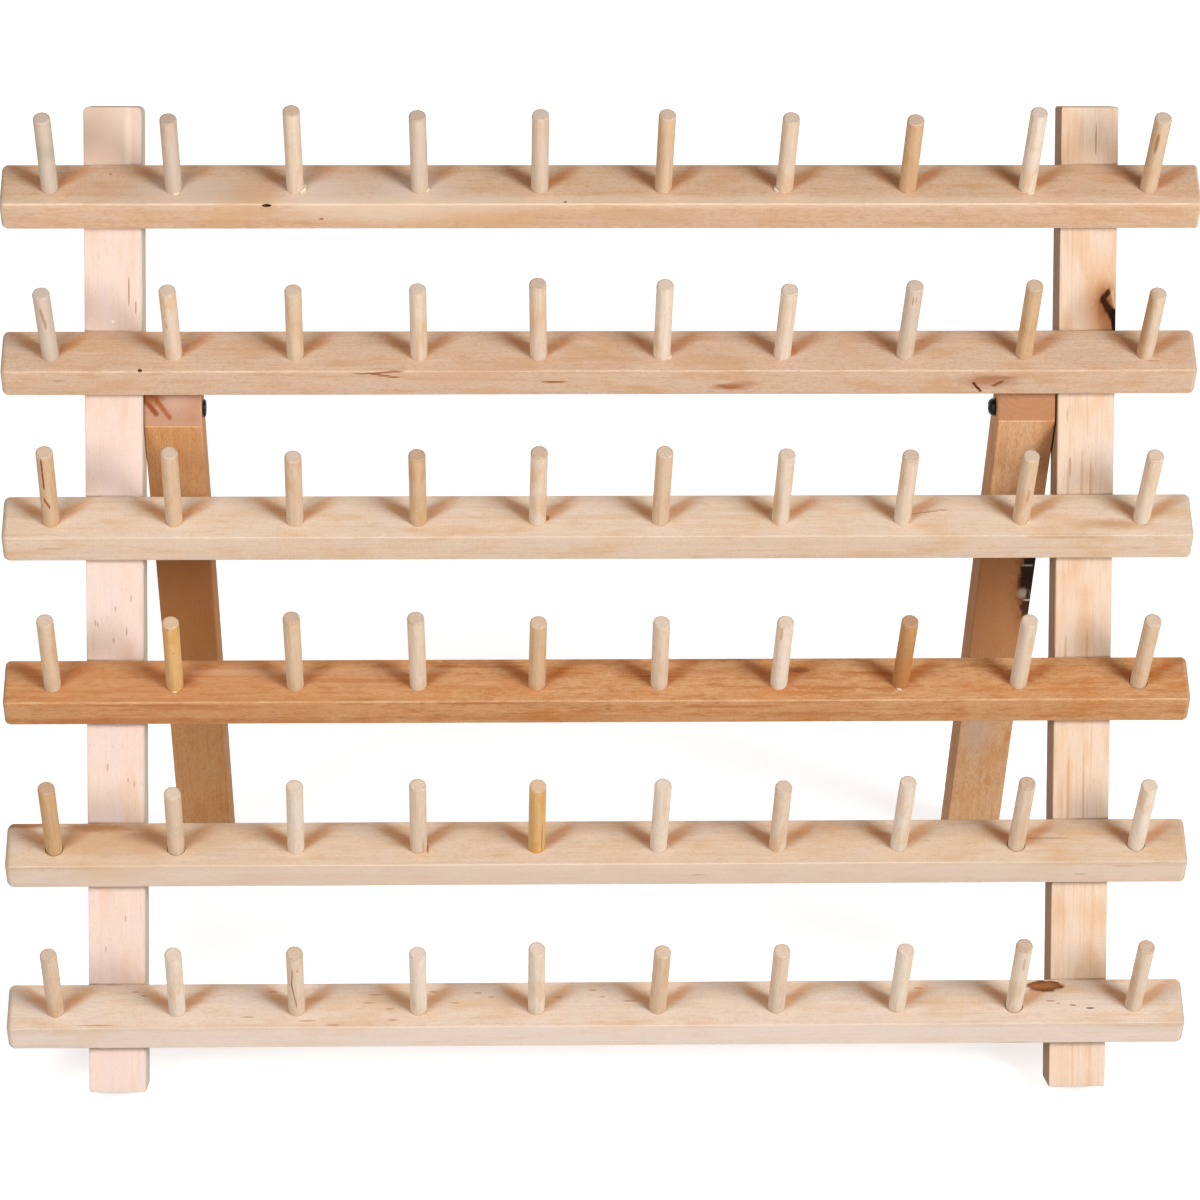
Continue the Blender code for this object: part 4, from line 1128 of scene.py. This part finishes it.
class RACK_OT_add_screws(bpy.types.Operator):
    """Adds the round-head pivot screws with their cross recess"""

    bl_idname = "rack.add_screws"
    bl_label = "Add Pivot Screws"

    def execute(self, context):
        sizes, colors = context.scene.rack_sizes, context.scene.rack_colors
        steel = make_steel("black_steel", tuple(colors.steel))
        for side, sign in SIDES.items():
            head_height = sizes.screw_head_height * SCREW_HEAD_SHARES[side]
            screw = self.screw(f"cross_head_screw_{side}", sizes, head_height)
            seat = PIVOTS[f"{side}_leg"].copy()
            low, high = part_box(f"leg_{side}")
            seat.x = (high.x if sign < 0 else low.x) - sign * sizes.seat_gap + LEG_STRAYS[side] / PER_MM
            place = Matrix.Translation(seat) @ Matrix.Rotation(-sign * math.pi / 2, 4, "Y")
            set_in_place(screw, place, steel, "frame", [f"pivot_screw_{side}"], 40)
        return {"FINISHED"}

    def screw(self, name, sizes, top):
        """A domed head with its recess, and a shank that is drawn out to a point."""
        point, point_start, point_share = 0.0028, 0.003, 0.12
        arm, slot_half, floor = 0.0019, 0.00042, top * 0.5
        head = add_rod(name, sizes.screw_head_radius, 0, top, 32)
        ease(head, top * 0.92, 6, lambda edge: all(vert.co.z > top * 0.9 for vert in edge.verts))
        choose(head, "FACE", lambda face: face.normal.z < -0.9)
        bpy.ops.mesh.inset(thickness=sizes.screw_head_radius - sizes.screw_radius)
        for step in (sizes.screw_length - point_start, point):
            bpy.ops.mesh.extrude_region_move(TRANSFORM_OT_translate={"value": (0, 0, -step)})
        tip = (0, 0, -sizes.screw_length)
        bpy.ops.transform.resize(value=(point_share, point_share, 1), center_override=tip)
        leave()
        bars = [add_box("slot_a", (-arm, -slot_half, floor), (arm, slot_half, top * 2)),
                add_box("slot_b", (-slot_half, -arm, floor), (slot_half, arm, top * 2))]
        cut(head, joined("recess", bars))
        return head


class RACK_OT_add_stage(bpy.types.Operator):
    """Adds the pale floor, three soft boxes, the plain world and the camera"""

    bl_idname = "rack.add_stage"
    bl_label = "Add Stage"

    def execute(self, context):
        settings = context.scene.rack_stage
        self.add_floor(settings)
        for side, placing in SOFT_BOXES.items():
            self.add_lamp(f"soft_box_{side}", *placing, getattr(settings, f"{side}_lamp_power"))
        self.add_world(settings)
        self.add_camera()
        context.scene.view_settings.view_transform = "Standard"
        return {"FINISHED"}

    def add_floor(self, settings):
        bpy.ops.object.select_all(action="DESELECT")
        bpy.ops.mesh.primitive_plane_add(size=14, location=(0, 0, -0.0004))
        floor = named("floor")
        recipe = material_recipe("pale_floor")
        tint = recipe.mix(recipe.cloud(2.0, 2.0), (0.80, 0.80, 0.80), (0.82, 0.82, 0.82))
        recipe.shade({"Base Color": tint, "Roughness": 0.9, "Specular IOR Level": 0.0})
        lift = recipe.node("Emission", {}, {"Color": WHITE, "Strength": recipe.shown() * settings.floor_lift})
        recipe.add_shader("AddShader", {0: None, 1: lift})
        floor.data.materials.append(recipe.owner)

    def add_lamp(self, name, azimuth, elevation, distance, size, power):
        azimuth, elevation = math.radians(azimuth), math.radians(elevation)
        turn = Matrix.Rotation(azimuth, 3, "Z") @ Matrix.Rotation(-elevation, 3, "X")
        towards = turn @ Vector((0, -1, 0))
        bpy.ops.object.light_add(type="AREA", location=LIT_POINT + distance * towards)
        lamp = bpy.context.object
        lamp.name = name
        lamp.data.size = size
        lamp.data.energy = power
        lamp.data.color = bpy.context.scene.rack_stage.lamp_color
        lamp.rotation_euler = towards.to_track_quat("Z", "Y").to_euler()

    def add_world(self, settings):
        recipe = Recipe(bpy.data.worlds.new("plain_room"))
        recipe.shade({"Color": tuple(settings.ambient_color), "Strength": settings.ambient})
        backdrop = recipe.node("Background", {}, {"Color": WHITE})
        recipe.add_shader("MixShader", {0: recipe.shown(), 1: None, 2: backdrop})
        bpy.context.scene.world = recipe.owner

    def add_camera(self):
        turn = [math.radians(angle) for angle in CAMERA_TURN]
        bpy.ops.object.camera_add(location=CAMERA_PLACE, rotation=turn)
        camera = bpy.context.object
        camera.name = "camera"
        camera.data.sensor_width = 36
        camera.data.lens = CAMERA_LENS_MM
        camera.data.shift_x, camera.data.shift_y = CAMERA_SHIFT
        bpy.context.scene.camera = camera


class RACK_PT_panel(bpy.types.Panel):
    """Lists the rack's pieces, sizes, colours and stage"""

    bl_label = "Thread Rack"
    bl_idname = "RACK_PT_panel"
    bl_space_type = "VIEW_3D"
    bl_region_type = "UI"
    bl_category = "Thread Rack"

    def draw(self, context):
        for operator in OPERATORS:
            self.layout.operator(operator.bl_idname)
        for group in (context.scene.rack_sizes, context.scene.rack_colors, context.scene.rack_stage):
            box = self.layout.box()
            for name in group.__annotations__:
                box.prop(group, name)


GROUPS = {"rack_sizes": RackSizes, "rack_colors": RackColors, "rack_stage": StageSettings}
OPERATORS = (RACK_OT_add_rails, RACK_OT_add_pegs, RACK_OT_add_posts, RACK_OT_add_legs, RACK_OT_add_screws,
             RACK_OT_add_stage)


def register():
    for cls in (*GROUPS.values(), *OPERATORS, RACK_PT_panel):
        bpy.utils.register_class(cls)
    for name, group in GROUPS.items():
        setattr(bpy.types.Scene, name, PointerProperty(type=group))


def unregister():
    for name in GROUPS:
        delattr(bpy.types.Scene, name)
    for cls in (RACK_PT_panel, *reversed(OPERATORS), *reversed(GROUPS.values())):
        bpy.utils.unregister_class(cls)


def main():
    register()
    bpy.ops.rack.add_rails()
    bpy.ops.rack.add_pegs()
    bpy.ops.rack.add_posts()
    bpy.ops.rack.add_legs()
    bpy.ops.rack.add_screws()
    bpy.ops.rack.add_stage()


if __name__ == "__main__":
    main()
